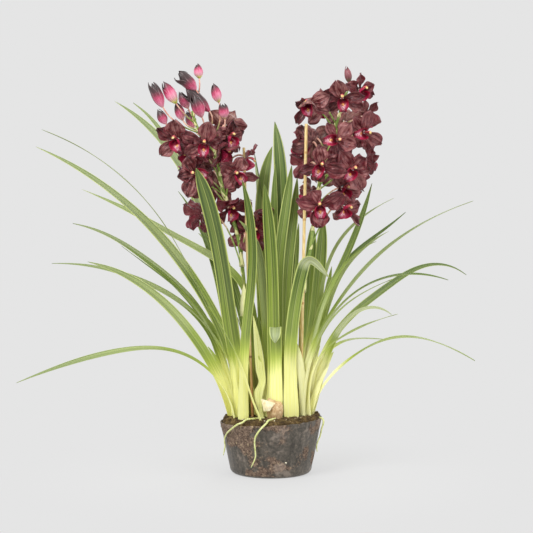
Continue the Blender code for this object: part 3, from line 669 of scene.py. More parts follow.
def blade(row):
    """One leaf as an open sheet, with the numbers that its finish reads stored on its points."""
    name, x, y, _, length, leans, width, _, _, bluntness = row
    draw = Random(name)
    ripple, phase, tone = draw.uniform(1.5, 3.0), draw.uniform(0, 6), draw.random()
    in_right_clump = rise(x, *RIGHT_CLUMP)
    turn_green = GREEN_FROM + draw.uniform(-GREEN_WANDER, GREEN_WANDER) + RIGHT_CREAM * in_right_clump
    own = OWN_LOOKS.get(name, {})
    # Painted shade: feet further back, and inside the clumps, are painted olive.
    usual_shade = rise(y, *BACK_SHADE) * (OPEN_SHADE if x > OPEN_FROM else INNER_SHADE)
    usual_pale = ARCHING_PALE if leans[-1] >= ARCHING_LEAN else UPRIGHT_PALE
    pale_start, pale_end, paleness = own.get("pale", usual_pale)
    shape = bmesh.new()
    green_layer = number_layer(shape, "green")
    pale_layer = number_layer(shape, "pale")
    steady = (
        (number_layer(shape, "tone"), own.get("tone", tone)),
        (number_layer(shape, "shade"), own.get("shade", usual_shade)),
        (number_layer(shape, "broad"), 0.25 + 0.75 * rise(width, *BROAD_WIDTHS)),
        # Painted light: the feet of the right clump are painted paler, as if more light reached them.
        (number_layer(shape, "painted_light"), in_right_clump),
    )
    points = midrib(row)
    for corner in sheet(shape, LEAF_COLUMNS, LEAF_STEPS):
        across, along = corner.co.x, corner.co.y
        step = round(along * LEAF_STEPS)
        place, side, up = points[step]
        from_foot = along * (length / 1000)
        flare = 1 + LEAF_FLARE * (1 - rise(from_foot, 0.0, LEAF_FLARE_LENGTH))
        half = blade_width(along, width / 1000, bluntness) / 2 * flare
        fold = LEAF_FOLD + LEAF_FOOT_FOLD * (1 - rise(along, 0.0, LEAF_FOOT_SHARE))
        lift = half * fold * abs(across) ** 1.4 + LEAF_RIPPLE * across * sin(ripple * 2 * pi * along + phase)
        corner.co = place + side * half * across + up * lift
        if step == 0:
            corner.co.z = SOIL_TOP - LEAF_SUNK
        corner[green_layer] = (from_foot - turn_green) / GREEN_RANGE
        corner[pale_layer] = paleness * (rise(along, pale_start - 0.03, pale_start + 0.03)
                                         - rise(along, pale_end - 0.1, pale_end + 0.1))
        for layer, number in steady:
            corner[layer] = number
    return shape


def grain_map(tree, scale=(1, 1, 1)):
    """The piece's own map: -1 to 1 across and 0 to 1 along, scaled."""
    return scaled(tree, add_node(tree, "UVMap", {}, uv_map="grain").outputs["UV"], scale)


def part_of(tree, vector, axis):
    """One of a vector's three numbers."""
    return add_node(tree, "SeparateXYZ", {0: vector}).outputs[axis]


def aside_of(tree):
    """Distance from the midrib as a share of the half width."""
    return reckon(tree, "ABSOLUTE", part_of(tree, grain_map(tree), "X"))


def flip(tree, share):
    """1 where the share is 0, and 0 where it is 1."""
    return reckon(tree, "SUBTRACT", 1.0, share)


def leaf_finish(name, bright, deep, far, edge, roughness):
    """Cream foot, green blade with parallel stripes, greyer towards the tip, a pale midrib and margins; the
    feet take painted shade (olive) and painted light (paler, in the right clump).
    """
    material, tree, _ = start_finish(name, roughness)
    veins = cloud(tree, grain_map(tree, (4.2, 0.7, 1)), 1.0, 3, 0.6)
    fine = cloud(tree, grain_map(tree, (24, 1.6, 1)), 1.0, 2, 0.5)
    mottle = cloud(tree, on_object(tree), 70, 3)
    aside = aside_of(tree)
    green = attribute(tree, "green")

    stripes = stretch(tree, weigh(tree, veins, 0.6, fine, 0.4), 0.40, 0.60)
    own_tone = reckon(tree, "MULTIPLY_ADD", attribute(tree, "tone"), 0.7, -0.35)
    tone = reckon(tree, "ADD", stripes, reckon(tree, "ADD", own_tone, times(tree, mottle, 0.1)))
    blade_tone = blend(tree, tone, deep, bright)
    blade_tone = blend(tree, times(tree, stretch(tree, green, 2.5, 8.0), 0.45), blade_tone, far)
    fresh = flip(tree, stretch(tree, green, 1.0, 4.0))
    blade_tone = blend(tree, times(tree, fresh, 0.35), blade_tone, "aabc58")
    turned_over = times(tree, attribute(tree, "pale"), 0.9)
    blade_tone = blend(tree, turned_over, blade_tone, blend(tree, stripes, "a4ae7c", "d6dcb4"))
    keel = flip(tree, stretch(tree, aside, 0.03, 0.09))
    lined = weigh(tree, keel, 0.45, stretch(tree, aside, 0.80, 0.93), 0.9)
    blade_tone = blend(tree, times(tree, lined, attribute(tree, "broad")), blade_tone, edge)

    ribs = weigh(tree, fine, 0.6, veins, 0.4)
    foot_tone = ramp(tree, ribs, (0.38, FOOT_YELLOW), (0.50, FOOT_CREAM), (0.60, "fafab6"))
    # Painted light: the right clump's feet are lightened towards pale cream.
    foot_tone = blend(tree, times(tree, attribute(tree, "painted_light"), 0.5), foot_tone, "fffdd6")
    # Painted shade: the feet are turned olive by their shade number.
    foot_tone = blend(tree, times(tree, attribute(tree, "shade"), 0.75), foot_tone, FOOT_PAINTED_SHADE)
    wander = reckon(tree, "MULTIPLY_ADD", reckon(tree, "ADD", veins, fine), 1.3, -1.3)
    greened = reckon(tree, "ADD", green, wander)
    middle = blend(tree, stretch(tree, greened, -0.6, 0.45), foot_tone, FOOT_GREEN)
    body = blend(tree, stretch(tree, greened, 0.05, 1.0), middle, blade_tone)
    return end_finish(material, body, reckon(tree, "ADD", fine, veins), 0.0004)


def round_off(piece):
    """Finish a closed piece with a subdivision surface."""
    smooth = piece.modifiers.new("rounding", "SUBSURF")
    smooth.levels = 1
    smooth.render_levels = 1


def thicken(piece, thickness, back=0):
    """Give an open sheet its thickness and round it off; its back's finish is so many slots further on."""
    wall = piece.modifiers.new("thickness", "SOLIDIFY")
    wall.thickness = thickness
    wall.offset = 0.0
    wall.material_offset = back
    round_off(piece)


leaf_looks = [leaf_finish("leaf_face", "96aa3a", "223a00", "445e1c", "c8d270", 0.32),
              leaf_finish("leaf_back", "94a844", "2e4a06", "56702e", "c6d07c", 0.42)]
for leaf_row in LEAVES + THIN_LEAVES + SHEATHS:
    own_nodes = [leaf_row[0]] if leaf_row in LEAVES else []
    leaf = add_piece(leaf_row[0] + "_blade", blade(leaf_row), leaf_looks, "leaf", *own_nodes)
    thicken(leaf, LEAF_THICKNESS, back=1)

# ================================================================ withered leaf
# One old leaf, dried pale and limp: a ribbon that stands up from the soil, kinks, and flares at the kink.
# A grid is laid along the kinked line and given a thickness.

# Points of the ribbon's middle line (mm), each with the ribbon's width there.
DRY_LEAF = (
    (-14, -36, 96, 5), (-18, -34, 110, 7), (-21, -31, 126, 12), (-20, -29, 141, 16), (-15, -27, 156, 12),
    (-18, -24, 176, 16), (-21, -22, 206, 14), (-25, -20, 236, 9), (-30, -18, 266, 1.5),
)
DRY_LEAF_KINK = 0.42         # share of the length at which it kinks
DRY_LEAF_TURN = 22           # how far the ribbon turns edge-on at its kink, in degrees
DRY_LEAF_CURL = 0.35         # how far its margins curl back, as a share of the half width
DRY_LEAF_THICKNESS = 0.0005


def smooth_path(points, steps):
    """A smooth curve through a few points, with the given number of steps between two of them."""
    padded = [2 * points[0] - points[1], *points, 2 * points[-1] - points[-2]]
    path = []
    for a, b, c, d in zip(padded, padded[1:], padded[2:], padded[3:]):
        path += [cubic(a, b, c, d, i / steps) for i in range(steps)]
    return path + [points[-1]]


def millimetres(points):
    """Points given in millimetres, as vectors in metres."""
    return [Vector(point) / 1000 for point in points]


def dry_ribbon():
    """The ribbon as an open sheet, crumpled a little, with its margins curled back."""
    draw = Random("dry leaf")
    middle = smooth_path(millimetres([point[:3] for point in DRY_LEAF]), 4)
    widths = smooth_path([point[3] / 1000 for point in DRY_LEAF], 4)
    rows = len(middle) - 1
    shape = bmesh.new()
    for corner in sheet(shape, 4, rows):
        across, step = corner.co.x, round(corner.co.y * rows)
        kink = 1 - abs(step / rows - DRY_LEAF_KINK) / DRY_LEAF_KINK
        angle = radians(DRY_LEAF_TURN) * max(0.0, kink) * sin(step * 0.55)
        half = max(0.0006, widths[step]) / 2
        curl = DRY_LEAF_CURL * half * across ** 2 + 0.0007 * draw.uniform(-1, 1)
        side = Vector((cos(angle), -sin(angle), 0))
        corner.co = middle[step] + side * half * across + Vector((0, -curl, 0.0006 * draw.uniform(-1, 1)))
    return shape


def dry_finish():
    """Straw-khaki with a hint of green, brown flecks and fine ribs along the ribbon."""
    material, tree, _ = start_finish("dry_leaf", 0.7)
    ribs = cloud(tree, grain_map(tree, (9, 2, 1)), 1.0, 3, 0.6)
    flecks = cloud(tree, on_object(tree, (1, 1, 0.5)), 420, 3, 0.6)
    body = ramp(tree, ribs, (0.34, "cccc70"), (0.50, "ecee94"), (0.64, "fafac4"))
    body = blend(tree, times(tree, stretch(tree, flecks, 0.62, 0.74), 0.3), body, "8a6238")
    return end_finish(material, body, ribs, 0.0004)


dry_leaf = add_piece("leaf_dry_ribbon", dry_ribbon(), [dry_finish()], "dry_leaf", "leaf_dry")
thicken(dry_leaf, DRY_LEAF_THICKNESS)

# ================================================================ husk
# The papery husk of a spent bulb, stood in front of the middle leaves: a wrinkled tan cup, folded over on
# itself, with a cream flap that ends in a corner. Two grids, crumpled and given a thickness.

HUSK_LOW, HUSK_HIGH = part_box("husk")
HUSK_HALF_WIDTH = 0.0135
HUSK_BULGE = 0.009
HUSK_ROLL = 0.006            # how far the top edge rolls back
HUSK_WRINKLE = 0.0011
HUSK_THICKNESS = 0.0005
# Corners of the flap from its lowest one (m): bottom left and right, top left and right.
FLAP_FOOT = Vector((-0.0125, HUSK_LOW.y - 0.001, SOIL_TOP + 0.013))
FLAP_CORNERS = ((0, 0, 0), (0.010, -0.002, 0.001), (-0.0045, 0.001, 0.0215), (0.020, 0.004, 0.0135))
FLAP_BELLY = 0.003


def husk_cup():
    """The tan part: bulges towards the front, with its top edge rolled in."""
    draw = Random("husk")
    shape = bmesh.new()
    middle = (HUSK_LOW.x + HUSK_HIGH.x) / 2 + 0.003
    height = HUSK_HIGH.z - SOIL_TOP - 0.006
    for corner in sheet(shape, 14, 12):
        across, up = corner.co.x, corner.co.y
        half = HUSK_HALF_WIDTH * (0.82 + 0.25 * sin(pi * up))
        bulge = HUSK_BULGE * (1 - across ** 2) * (0.45 + 0.55 * sin(pi * min(1.0, up * 1.1)))
        rolled = HUSK_ROLL * rise(up, 0.75, 1.0)
        wrinkle = HUSK_WRINKLE * noise.noise(Vector((across * 3, up * 4, 1.7)))
        top = SOIL_TOP - 0.002 + (height + 0.002) * (up - 0.10 * rise(up, 0.8, 1.0)) * (1 - 0.10 * across)
        corner.co = (middle + half * across, HUSK_HIGH.y - bulge + rolled + wrinkle,
                     top + 0.0006 * draw.uniform(-1, 1))
    return shape


def husk_flap():
    """The cream part, laid over the cup's upper left: four corners, one of them drawn up to a point."""
    shape = bmesh.new()
    corners = [FLAP_FOOT + Vector(place) for place in FLAP_CORNERS]
    for corner in sheet(shape, 8, 8):
        across, up = (corner.co.x + 1) / 2, corner.co.y
        bottom = corners[0].lerp(corners[1], across)
        top = corners[2].lerp(corners[3], across)
        belly = FLAP_BELLY * sin(pi * across) * sin(pi * up)
        crumple = 0.0009 * noise.noise(Vector((across * 4, up * 4, 9.1)))
        corner.co = bottom.lerp(top, up) + Vector((0, -belly + crumple, crumple))
    return shape


def husk_finish(name, dark, middle, light):
    """Papery, with creases that run up and down and broader blotches."""
    material, tree, _ = start_finish(name, 0.75)
    crease = cloud(tree, on_object(tree, (1, 1, 0.45)), 330, 4, 0.65, 1.2)
    blotch = cloud(tree, on_object(tree), 140, 3)
    tone = weigh(tree, crease, 0.6, blotch, 0.4)
    return end_finish(material, ramp(tree, tone, (0.34, dark), (0.50, middle), (0.64, light)), crease, 0.0006)


husk_tan = husk_finish("husk_tan", "a87c52", "d6b486", "f0dcb0")
husk_cream = husk_finish("husk_cream", "e0c890", "f2e6bc", "fbf4da")
thicken(add_piece("husk_cup", husk_cup(), [husk_tan], "papery_husk", "husk"), HUSK_THICKNESS)
thicken(add_piece("husk_flap", husk_flap(), [husk_cream], "papery_husk"), HUSK_THICKNESS)

# ================================================================ canes
# Two straight bamboo canes that hold the flower stems up, each with a few swollen joints along it. Tubes
# drawn out from the soil to the top, with the radius raised at the joints.

# Each cane: name, foot and top (mm), the heights of its joints (mm), its radius (m), and its finish.
CANES = (
    ("cane_left", (-31, -18, 94), (-46, -10, 550), (197, 322, 446), 0.0022, "bamboo_brown"),
    ("cane_right", (50, 2, 94), (59, -28, 588), (150, 287, 428, 540), 0.0026, "bamboo_tan"),
)
CANE_JOINT = 0.0005          # how far a joint stands out
CANE_JOINT_HALF = 0.003      # half the length of a joint's swelling
CANE_STEPS = 220


def near_joint(height, joints):
    """1 in the middle of a joint, and 0 away from all of them."""
    return max(0.0, max(1 - abs(height - joint / 1000) / CANE_JOINT_HALF for joint in joints))


def cane_shape(foot, top, joints, radius):
    """A tube that swells at its joints, and stores how near each point is to one."""
    foot, top = millimetres((foot, top))
    path = [foot.lerp(top, step / CANE_STEPS) for step in range(CANE_STEPS + 1)]
    radii = [radius + CANE_JOINT * rise(near_joint(place.z, joints), 0.0, 1.0) for place in path]
    shape = bmesh.new()
    rod(shape, path, radii, sides=12)
    bmesh.ops.recalc_face_normals(shape, faces=shape.faces)
    joint_layer = number_layer(shape, "joint")
    for corner in shape.verts:
        corner[joint_layer] = near_joint(corner.co.z, joints)
    return shape


def cane_finish(name, low, middle, high, foot_tint, joint_tint):
    """Tan with fine streaks along the cane, browner towards the soil, and dark at the joints."""
    material, tree, _ = start_finish(name, 0.5)
    streaks = cloud(tree, on_object(tree, (1, 1, 0.06)), 900, 3)
    weathered = cloud(tree, on_object(tree, (1, 1, 0.3)), 70, 3)
    body = ramp(tree, streaks, (0.30, low), (0.50, middle), (0.72, high))
    near_soil = flip(tree, stretch(tree, part_of(tree, on_object(tree), "Z"), 0.12, 0.24))
    stained = times(tree, near_soil, reckon(tree, "ADD", weathered, 0.25))
    body = blend(tree, stained, body, foot_tint)
    dark_joint = stretch(tree, attribute(tree, "joint"), 0.15, 0.6)
    body = blend(tree, times(tree, dark_joint, 0.75), body, joint_tint)
    return end_finish(material, body, streaks, 0.00025)


cane_looks = {
    "bamboo_tan": cane_finish("bamboo_tan", "d4aa60", "ecce8c", "fbeeb8", "e4ae70", "ca9a5a"),
    "bamboo_brown": cane_finish("bamboo_brown", "b08e56", "d2b678", "e8d49c", "b8743e", "6a4526"),
}
for name, foot, top, joints, radius, look in CANES:
    add_piece(name + "_stick", cane_shape(foot, top, joints, radius), [cane_looks[look]], "bamboo", name)

# ================================================================ flower stems
# Two fleshy green stems with a stalk for each flower and bud, all grown as one. The stalks blush salmon
# towards the flower, and a small papery bract sits where each one leaves the stem.

LEFT_STEM = ((-32, 12, 95), (-36, 10, 172), (-41, 7, 241), (-45, 3, 309), (-51, 0, 367), (-61, 0, 419),
             (-76, 0, 462), (-85, 0, 495), (-92, 0, 530), (-104, 0, 557), (-124, 0, 584), (-134, -2, 613))
RIGHT_STEM = ((48, 22, 95), (50, 20, 189), (54, 16, 292), (68, 10, 386), (77, 5, 460), (87, 0, 513),
              (99, 0, 550), (111, 0, 590), (121, 0, 622), (128, 0, 645))
STEM_FOOT_RADIUS = 0.0036
STEM_TOP_RADIUS = 0.0019
STALK_RADIUS = 0.0013
STALK_SWELL = 0.0006         # how much thicker a stalk is just behind its flower
STALK_STRAIGHT = 0.45        # last share of a stalk that points at its flower or bud
STALK_STEPS = 9
STALK_INTO_BUD = 0.06        # how far a stalk reaches into its bud, as a share of the bud's length
BRACT_LENGTH = 0.010
BRACT_WIDTH = 0.007
BRACT_THICKNESS = 0.0004
# Dry sheaths at a stem's joints: height (m), how far one stands out from the stem, length and width.
LEFT_STEM_SHEATHS = ((0.266, 0.026, 0.054, 0.019), (0.349, 0.0, 0.030, 0.010))
RIGHT_STEM_SHEATHS = ((0.305, 0.0, 0.036, 0.0105),)

# Each flower: name, centre x, y and z (mm), compass direction it faces, how far it looks up (degrees),
# turn round its own axis (degrees), and the height (mm) at which its stalk leaves the stem.
LEFT_FLOWERS = (
    ("flower_left_01", -155, -36, 561, 250, -18, 14, 532),
    ("flower_left_02", -110, -47, 552, 268, -14, -6, 528),
    ("flower_left_03", -72, -23, 567, 305, -12, -8, 540),
    ("flower_left_04", -133, -12, 540, 215, -28, -30, 486),
    ("flower_left_05", -128, -27, 505, 285, -4, 80, 470),
    ("flower_left_06", -60, -41, 505, 298, -22, 45, 462),
    ("flower_left_07", -44, 6, 535, 10, -42, 0, 505),
    ("flower_left_08", -33, 16, 409, 290, -10, -20, 366),
    ("flower_left_09", -118, 8, 440, 140, -15, 0, 338),
)
RIGHT_FLOWERS = (
    ("flower_right_01", 118, -41, 628, 270, -16, 6, 605),
    ("flower_right_02", 149, -17, 646, 300, -12, -30, 612),
    ("flower_right_03", 63, -36, 621, 255, -20, 5, 582),
    ("flower_right_04", 108, -49, 559, 264, -6, -85, 532),
    ("flower_right_05", 154, -36, 573, 285, -12, -80, 540),
    ("flower_right_06", 84, -51, 515, 258, -12, -28, 478),
    ("flower_right_07", 134, -44, 510, 276, -12, -35, 478),
    ("flower_right_08", 162, 14, 530, 40, -10, 0, 496),
    ("flower_right_09", 56, 18, 557, 140, -15, 0, 520),
    ("flower_right_10", 80, -55, 449, 270, -14, 4, 412),
    ("flower_right_11", 121, -34, 449, 300, -22, -45, 380),
)

# Flowers half hidden among the others, in the same terms.
LEFT_BACK_FLOWERS = (
    ("flower_left_back_01", -84, -20, 547, 330, -38, 0, 505),
    ("flower_left_back_02", -78, 2, 590, 80, 5, 20, 552),
    ("flower_left_back_03", -94, 10, 481, 60, -10, 0, 450),
    ("flower_left_back_04", -71, -8, 448, 300, -25, 0, 405),
    ("flower_left_back_05", -46, 4, 404, 110, -30, 0, 368),
    ("flower_left_back_06", -27, 22, 436, 335, -20, 10, 396),
    ("flower_left_back_07", -128, 14, 500, 170, -20, 0, 465),
    ("flower_left_back_08", -88, 6, 552, 100, 0, 10, 520),
    ("flower_left_back_09", -98, 16, 512, 95, -10, 20, 480),
)
RIGHT_BACK_FLOWERS = (
    ("flower_right_back_01", 90, 8, 624, 95, 0, 0, 590),
    ("flower_right_back_02", 126, 8, 596, 80, 0, 0, 562),
    ("flower_right_back_03", 160, 12, 606, 45, 10, 0, 580),
    ("flower_right_back_04", 76, 10, 568, 120, 0, 0, 535),
    ("flower_right_back_05", 69, 5, 526, 120, -10, 0, 492),
    ("flower_right_back_06", 120, -12, 481, 300, -15, -20, 450),
    ("flower_right_back_07", 68, 5, 455, 110, -10, 0, 412),
    ("flower_right_back_08", 70, 12, 476, 140, -10, 0, 440),
    ("flower_right_back_09", 113, 8, 520, 90, -10, 0, 485),
    ("flower_right_back_10", 72, 0, 560, 100, -5, 30, 520),
)

# Each bud: name, base and tip (mm), the height (mm) at which its stalk leaves the stem, how far its sepals
# stand apart (1 is wide), how full it is (1 is usual), and how much darker it is than a young one.
LEFT_BUDS = (
    ("bud_left_01", (-182, -20, 617), (-202, -26, 660), 575, 0.9, 0.82, 0.28),
    ("bud_left_02", (-160, -12, 624), (-183, -16, 661), 590, 0.35, 0.95, 0.0),
    ("bud_left_03", (-127, -10, 648), (-160, -16, 678), 606, 1.3, 1.0, 0.36),
    ("bud_left_04", (-122, 2, 669), (-126, 4, 695), 611, 0.12, 1.25, 0.0),
    ("bud_left_05", (-88, -6, 627), (-99, -10, 660), 556, 0.2, 1.0, 0.05),
    ("bud_left_06", (-116, -22, 600), (-131, -30, 637), 566, 0.3, 1.1, 0.22),
    ("bud_left_07", (-142, 16, 620), (-158, 22, 651), 600, 0.12, 1.0, 0.2),
    ("bud_left_08", (-150, 4, 598), (-163, 6, 630), 580, 0.12, 1.0, 0.15),
    ("bud_left_09", (-133, 26, 588), (-146, 36, 620), 566, 0.12, 1.0, 0.3),
    ("bud_left_10", (-78, -14, 598), (-82, -18, 625), 545, 0.9, 1.3, 0.1),
    ("bud_left_11", (-178, -8, 590), (-192, -8, 616), 560, 0.12, 1.15, 0.25),
    ("bud_left_12", (-104, -4, 612), (-146, 0, 650), 566, 1.4, 0.8, 0.55),
)
RIGHT_BUDS = (
    ("bud_right_01", (133, 2, 661), (129, 4, 691), 638, 0.12, 0.85, 0.0),
)


def facing(direction, pitch):
    """Unit vector of a compass direction and a pitch."""
    return Vector((cos(radians(direction)) * cos(radians(pitch)),
                   sin(radians(direction)) * cos(radians(pitch)), sin(radians(pitch))))


def at_height(path, height):
    """The point of a rising path at a height, and the path's direction there."""
    for low, high in zip(path, path[1:]):
        if low.z <= height <= high.z:
            return low.lerp(high, (height - low.z) / (high.z - low.z)), (high - low).normalized()
    return path[-1], (path[-1] - path[-2]).normalized()


def stalk_path(start, end, arrival):
    """A stalk that leaves the stem rising and arrives at its flower or bud along its axis."""
    reach = (end - start).length
    control = end - arrival * reach * STALK_STRAIGHT
    shares = [i / STALK_STEPS for i in range(STALK_STEPS + 1)]
    return [start.lerp(control, t).lerp(control.lerp(end, t), t) for t in shares]


def stalk_ends(flowers, buds):
    """Each stalk's height on the stem, its end, the direction it arrives in, and its swelling there."""
    ends = []
    for _, x, y, z, direction, pitch, _, height in flowers:
        ends.append((height / 1000, Vector((x, y, z)) / 1000, facing(direction, pitch), STALK_SWELL))
    for _, base, tip, height, *_ in buds:
        base, tip = millimetres((base, tip))
        ends.append((height / 1000, base.lerp(tip, STALK_INTO_BUD), (tip - base).normalized(), 0.0))
    return ends


def bract(shape, start, heading, outward, length, width):
    """A small pointed scale that clasps a stalk: a grid bent round it, added to a bmesh."""
    side = heading.cross(outward).normalized()
    lifted = side.cross(heading).normalized()
    for corner in sheet(shape, 4, 5):
        across, along = corner.co.x, corner.co.y
        half = width / 2 * (1 - along ** 2.2) + 0.0002
        clasp = across * 1.2
        corner.co = (start + heading * length * along + side * half * sin(clasp)
                     + lifted * (half * (1 - cos(clasp)) * -1 + half * 0.9 + 0.0012 * along))


def spike_shape(name, stem_points, flowers, buds, sheaths):
    """Stem, stalks and bracts; slot 0 is the green of the stem and stalks, slot 1 the papery bracts."""
    draw = Random(name)
    path = smooth_path(millimetres(stem_points), 5)
    last = len(path) - 1
    ends = stalk_ends(flowers, buds)
    shape = bmesh.new()
    blush = number_layer(shape, "blush")
    rod(shape, path, [STEM_FOOT_RADIUS + (STEM_TOP_RADIUS - STEM_FOOT_RADIUS) * i / last
                      for i in range(last + 1)], sides=12)
    for height, end, arrival, swell in ends:
        points = stalk_path(at_height(path, height)[0], end, arrival)
        known = set(shape.verts)
        rod(shape, points, [STALK_RADIUS + swell * rise(i / STALK_STEPS, 0.4, 0.9)
                            for i in range(len(points))], sides=8)
        for corner in set(shape.verts) - known:
            nearest = min(range(len(points)), key=lambda i: (points[i] - corner.co).length_squared)
            corner[blush] = nearest / STALK_STEPS
    bmesh.ops.recalc_face_normals(shape, faces=shape.faces)
    grown = set(shape.faces)
    for height, end, _, _ in ends:
        start, rising = at_height(path, height)
        outward = (end - start).normalized()
        heading = (rising + outward * 1.1).normalized()
        away = outward - heading * outward.dot(heading)
        length = BRACT_LENGTH * draw.uniform(0.8, 1.4)
        bract(shape, start - heading * 0.002, heading, away, length, BRACT_WIDTH)
    for height, stand_off, length, width in sheaths:
        start, rising = at_height(path, height)
        bract(shape, start + Vector((0, -stand_off, 0)), rising, Vector((-0.3, -1, 0)), length, width)
    scales = [face for face in shape.faces if face not in grown]
    bmesh.ops.solidify(shape, geom=scales, thickness=BRACT_THICKNESS)
    for face in shape.faces:
        if face not in grown:
            face.material_index = 1
    return shape


def stem_finish():
    """Fresh green, mottled lengthwise; the stalks turn to salmon and cream towards the flower."""
    material, tree, _ = start_finish("flower_stem", 0.42)
    mottle = cloud(tree, on_object(tree, (1, 1, 0.35)), 240, 4)
    fine = cloud(tree, on_object(tree, (1, 1, 0.15)), 900, 2)
    green = ramp(tree, mottle, (0.30, "64802f"), (0.50, "88a347"), (0.70, "b4c46e"))
    low = flip(tree, stretch(tree, part_of(tree, on_object(tree), "Z"), 0.26, 0.36))
    aged = ramp(tree, mottle, (0.34, "8a7c36"), (0.50, "a89a48"), (0.66, "cca050"))
    green = blend(tree, times(tree, low, 0.85), green, aged)
    salmon = ramp(tree, mottle, (0.34, "d48e7c"), (0.50, "e8b09c"), (0.66, "f2d8bc"))
    share = reckon(tree, "MULTIPLY_ADD", reckon(tree, "SUBTRACT", mottle, 0.5), 0.5, attribute(tree, "blush"))
    return end_finish(material, blend(tree, stretch(tree, share, 0.28, 0.62), green, salmon), fine, 0.0002)


def bract_finish():
    """Straw yellow, ribbed lengthwise."""
    material, tree, _ = start_finish("bract", 0.6)
    ribs = cloud(tree, grain_map(tree, (5, 1, 1)), 1.0, 3)
    return end_finish(material, ramp(tree, ribs, (0.30, "ccd07c"), (0.45, "ecec9e"), (0.60, "f8f4c4")))


stem_looks = [stem_finish(), bract_finish()]
for side, *parts in (
        ("left", LEFT_STEM, LEFT_FLOWERS + LEFT_BACK_FLOWERS, LEFT_BUDS, LEFT_STEM_SHEATHS),
        ("right", RIGHT_STEM, RIGHT_FLOWERS + RIGHT_BACK_FLOWERS, RIGHT_BUDS, RIGHT_STEM_SHEATHS)):
    add_piece(f"spike_{side}_stem", spike_shape(side, *parts), stem_looks, "flower_stem", f"spike_{side}")

# ================================================================ buds
# Closed and half-open buds: three broad sepals overlap round a slim inner body, green at the base, pink in
# the middle and dark at the tips, which stand a little apart. Grids bent round the bud's axis.

BUD_GIRTH = 0.235            # radius of a bud, as a share of its length
BUD_WIDEST = 0.42            # share of the length at which it is widest
BUD_BODY = (0.04, 0.86)      # where the inner body starts and how long it is, as shares of the length
BUD_BODY_GIRTH = 0.82        # its radius, as a share of the bud's
BUD_SPLAY = 0.16             # how far open sepals' tips stand out, as a share of the bud's length
SEPAL_HALF_ANGLE = 78        # how far round the bud a sepal reaches either way, in degrees
SEPAL_THICKNESS = 0.0006


def bud_girth(share):
    """Radius of a bud at a share of its length, from 0 to 1."""
    if share < BUD_WIDEST:
        return max(0.12, sin(pi / 2 * share / BUD_WIDEST) ** 0.8)
    return max(0.05, cos(pi / 2 * (share - BUD_WIDEST) / (1 - BUD_WIDEST)) ** 0.75)


def bud_shape(name, base, tip, openness, fullness, darker):
    """The inner body and three sepals, which store how far along the bud each point is."""
    draw = Random(name)
    axis = tip - base
    length = axis.length
    girth = BUD_GIRTH * length * fullness
    shape = bmesh.new()
    along_layer = number_layer(shape, "along")
    shape.loops.layers.uv.new("grain")
    shares = [i / 9 for i in range(10)]
    inner = [Vector((0, 0, length * (BUD_BODY[0] + BUD_BODY[1] * share))) for share in shares]
    rod(shape, inner, [BUD_BODY_GIRTH * girth * bud_girth(share) for share in shares], sides=10)
    bmesh.ops.recalc_face_normals(shape, faces=shape.faces)
    for corner in shape.verts:
        corner[along_layer] = darker + 0.25 + corner.co.z / length * 0.9
    body = set(shape.faces)
    spin_start = draw.uniform(0, 2 * pi)
    for number in range(3):
        turn = spin_start + number * 2 * pi / 3
        reach = draw.uniform(0.90, 1.04)
        splay = openness * draw.uniform(0.4, 1.0)
        for corner in sheet(shape, 8, 10):
            across, along = corner.co.x, corner.co.y
            narrowing = (1 - rise(along, 0.55, 1.03)) ** 0.8
            angle = turn + across * radians(SEPAL_HALF_ANGLE) * (0.10 + 0.90 * narrowing)
            radius = girth * (bud_girth(along) + 0.05 + 0.06 * across)
            radius += splay * length * BUD_SPLAY * rise(along, 0.45, 1.0)
            height = length * reach * along - 0.03 * length * across ** 2 * rise(along, 0.5, 1.0)
            corner.co = (radius * cos(angle), radius * sin(angle), height)
            corner[along_layer] = darker + along + 0.08 * abs(across) * rise(along, 0.3, 0.8)
    sepals = [face for face in shape.faces if face not in body]
    bmesh.ops.solidify(shape, geom=sepals, thickness=SEPAL_THICKNESS)
    turn = Vector((0, 0, 1)).rotation_difference(axis).to_matrix()
    bmesh.ops.rotate(shape, verts=shape.verts, matrix=turn)
    bmesh.ops.translate(shape, verts=shape.verts, vec=base)
    return shape


def bud_finish(name, *stops):
    """Colours that change from the base to the tips, with fine dark streaks along the sepals and pale streaks
    painted as highlights.
    """
    material, tree, _ = start_finish(name, 0.42)
    streaks = cloud(tree, grain_map(tree, (8, 1.2, 1)), 1.0, 4, 0.6)
    blotch = cloud(tree, on_object(tree), 150, 3)
    wander = reckon(tree, "MULTIPLY_ADD", reckon(tree, "ADD", streaks, blotch), 0.22, -0.22)
    body = ramp(tree, reckon(tree, "ADD", attribute(tree, "along"), wander), *stops)
    dark_vein = stretch(tree, streaks, 0.52, 0.66)
    body = blend(tree, times(tree, dark_vein, 0.30), body, "7c2c42")
    # Painted highlight: pale pink streaks along the sepals stand in for glints of light.
    painted_highlight_streak = flip(tree, stretch(tree, streaks, 0.34, 0.46))
    body = blend(tree, times(tree, painted_highlight_streak, 0.35), body, "fad4d6")
    return end_finish(material, body, streaks, 0.0003)


# Yellow-green base, hot pink middle and maroon-grey tips; the lone bud on the right is maroon all over.
pink_bud = bud_finish("bud", (0.04, "cdd85c"), (0.14, "ecd0a4"), (0.24, "f6b2c0"), (0.42, "ee86a6"),
                      (0.60, "c84a70"), (0.76, "803446"), (0.90, "4c3438"), (1.04, "3c3030"))
maroon_bud = bud_finish("maroon_bud", (0.10, "5c5a3c"), (0.32, "7c4448"), (0.70, "96545a"), (1.10, "6a3a3e"))
for buds, bud_look in ((LEFT_BUDS, pink_bud), (RIGHT_BUDS, maroon_bud)):
    for name, base, tip, _, *own in buds:
        round_off(add_piece(name, bud_shape(name, *millimetres((base, tip)), *own), [bud_look], "petal"))

# ================================================================ flowers
# Dark maroon cymbidiums: a hooded top sepal, two petals and two lower sepals round a crimson lip, whose
# side lobes stand up round an arched column with a cream cap. Each tepal and the lip is a grid bent to
# shape; the column is a tube, and its cap a squashed ball.

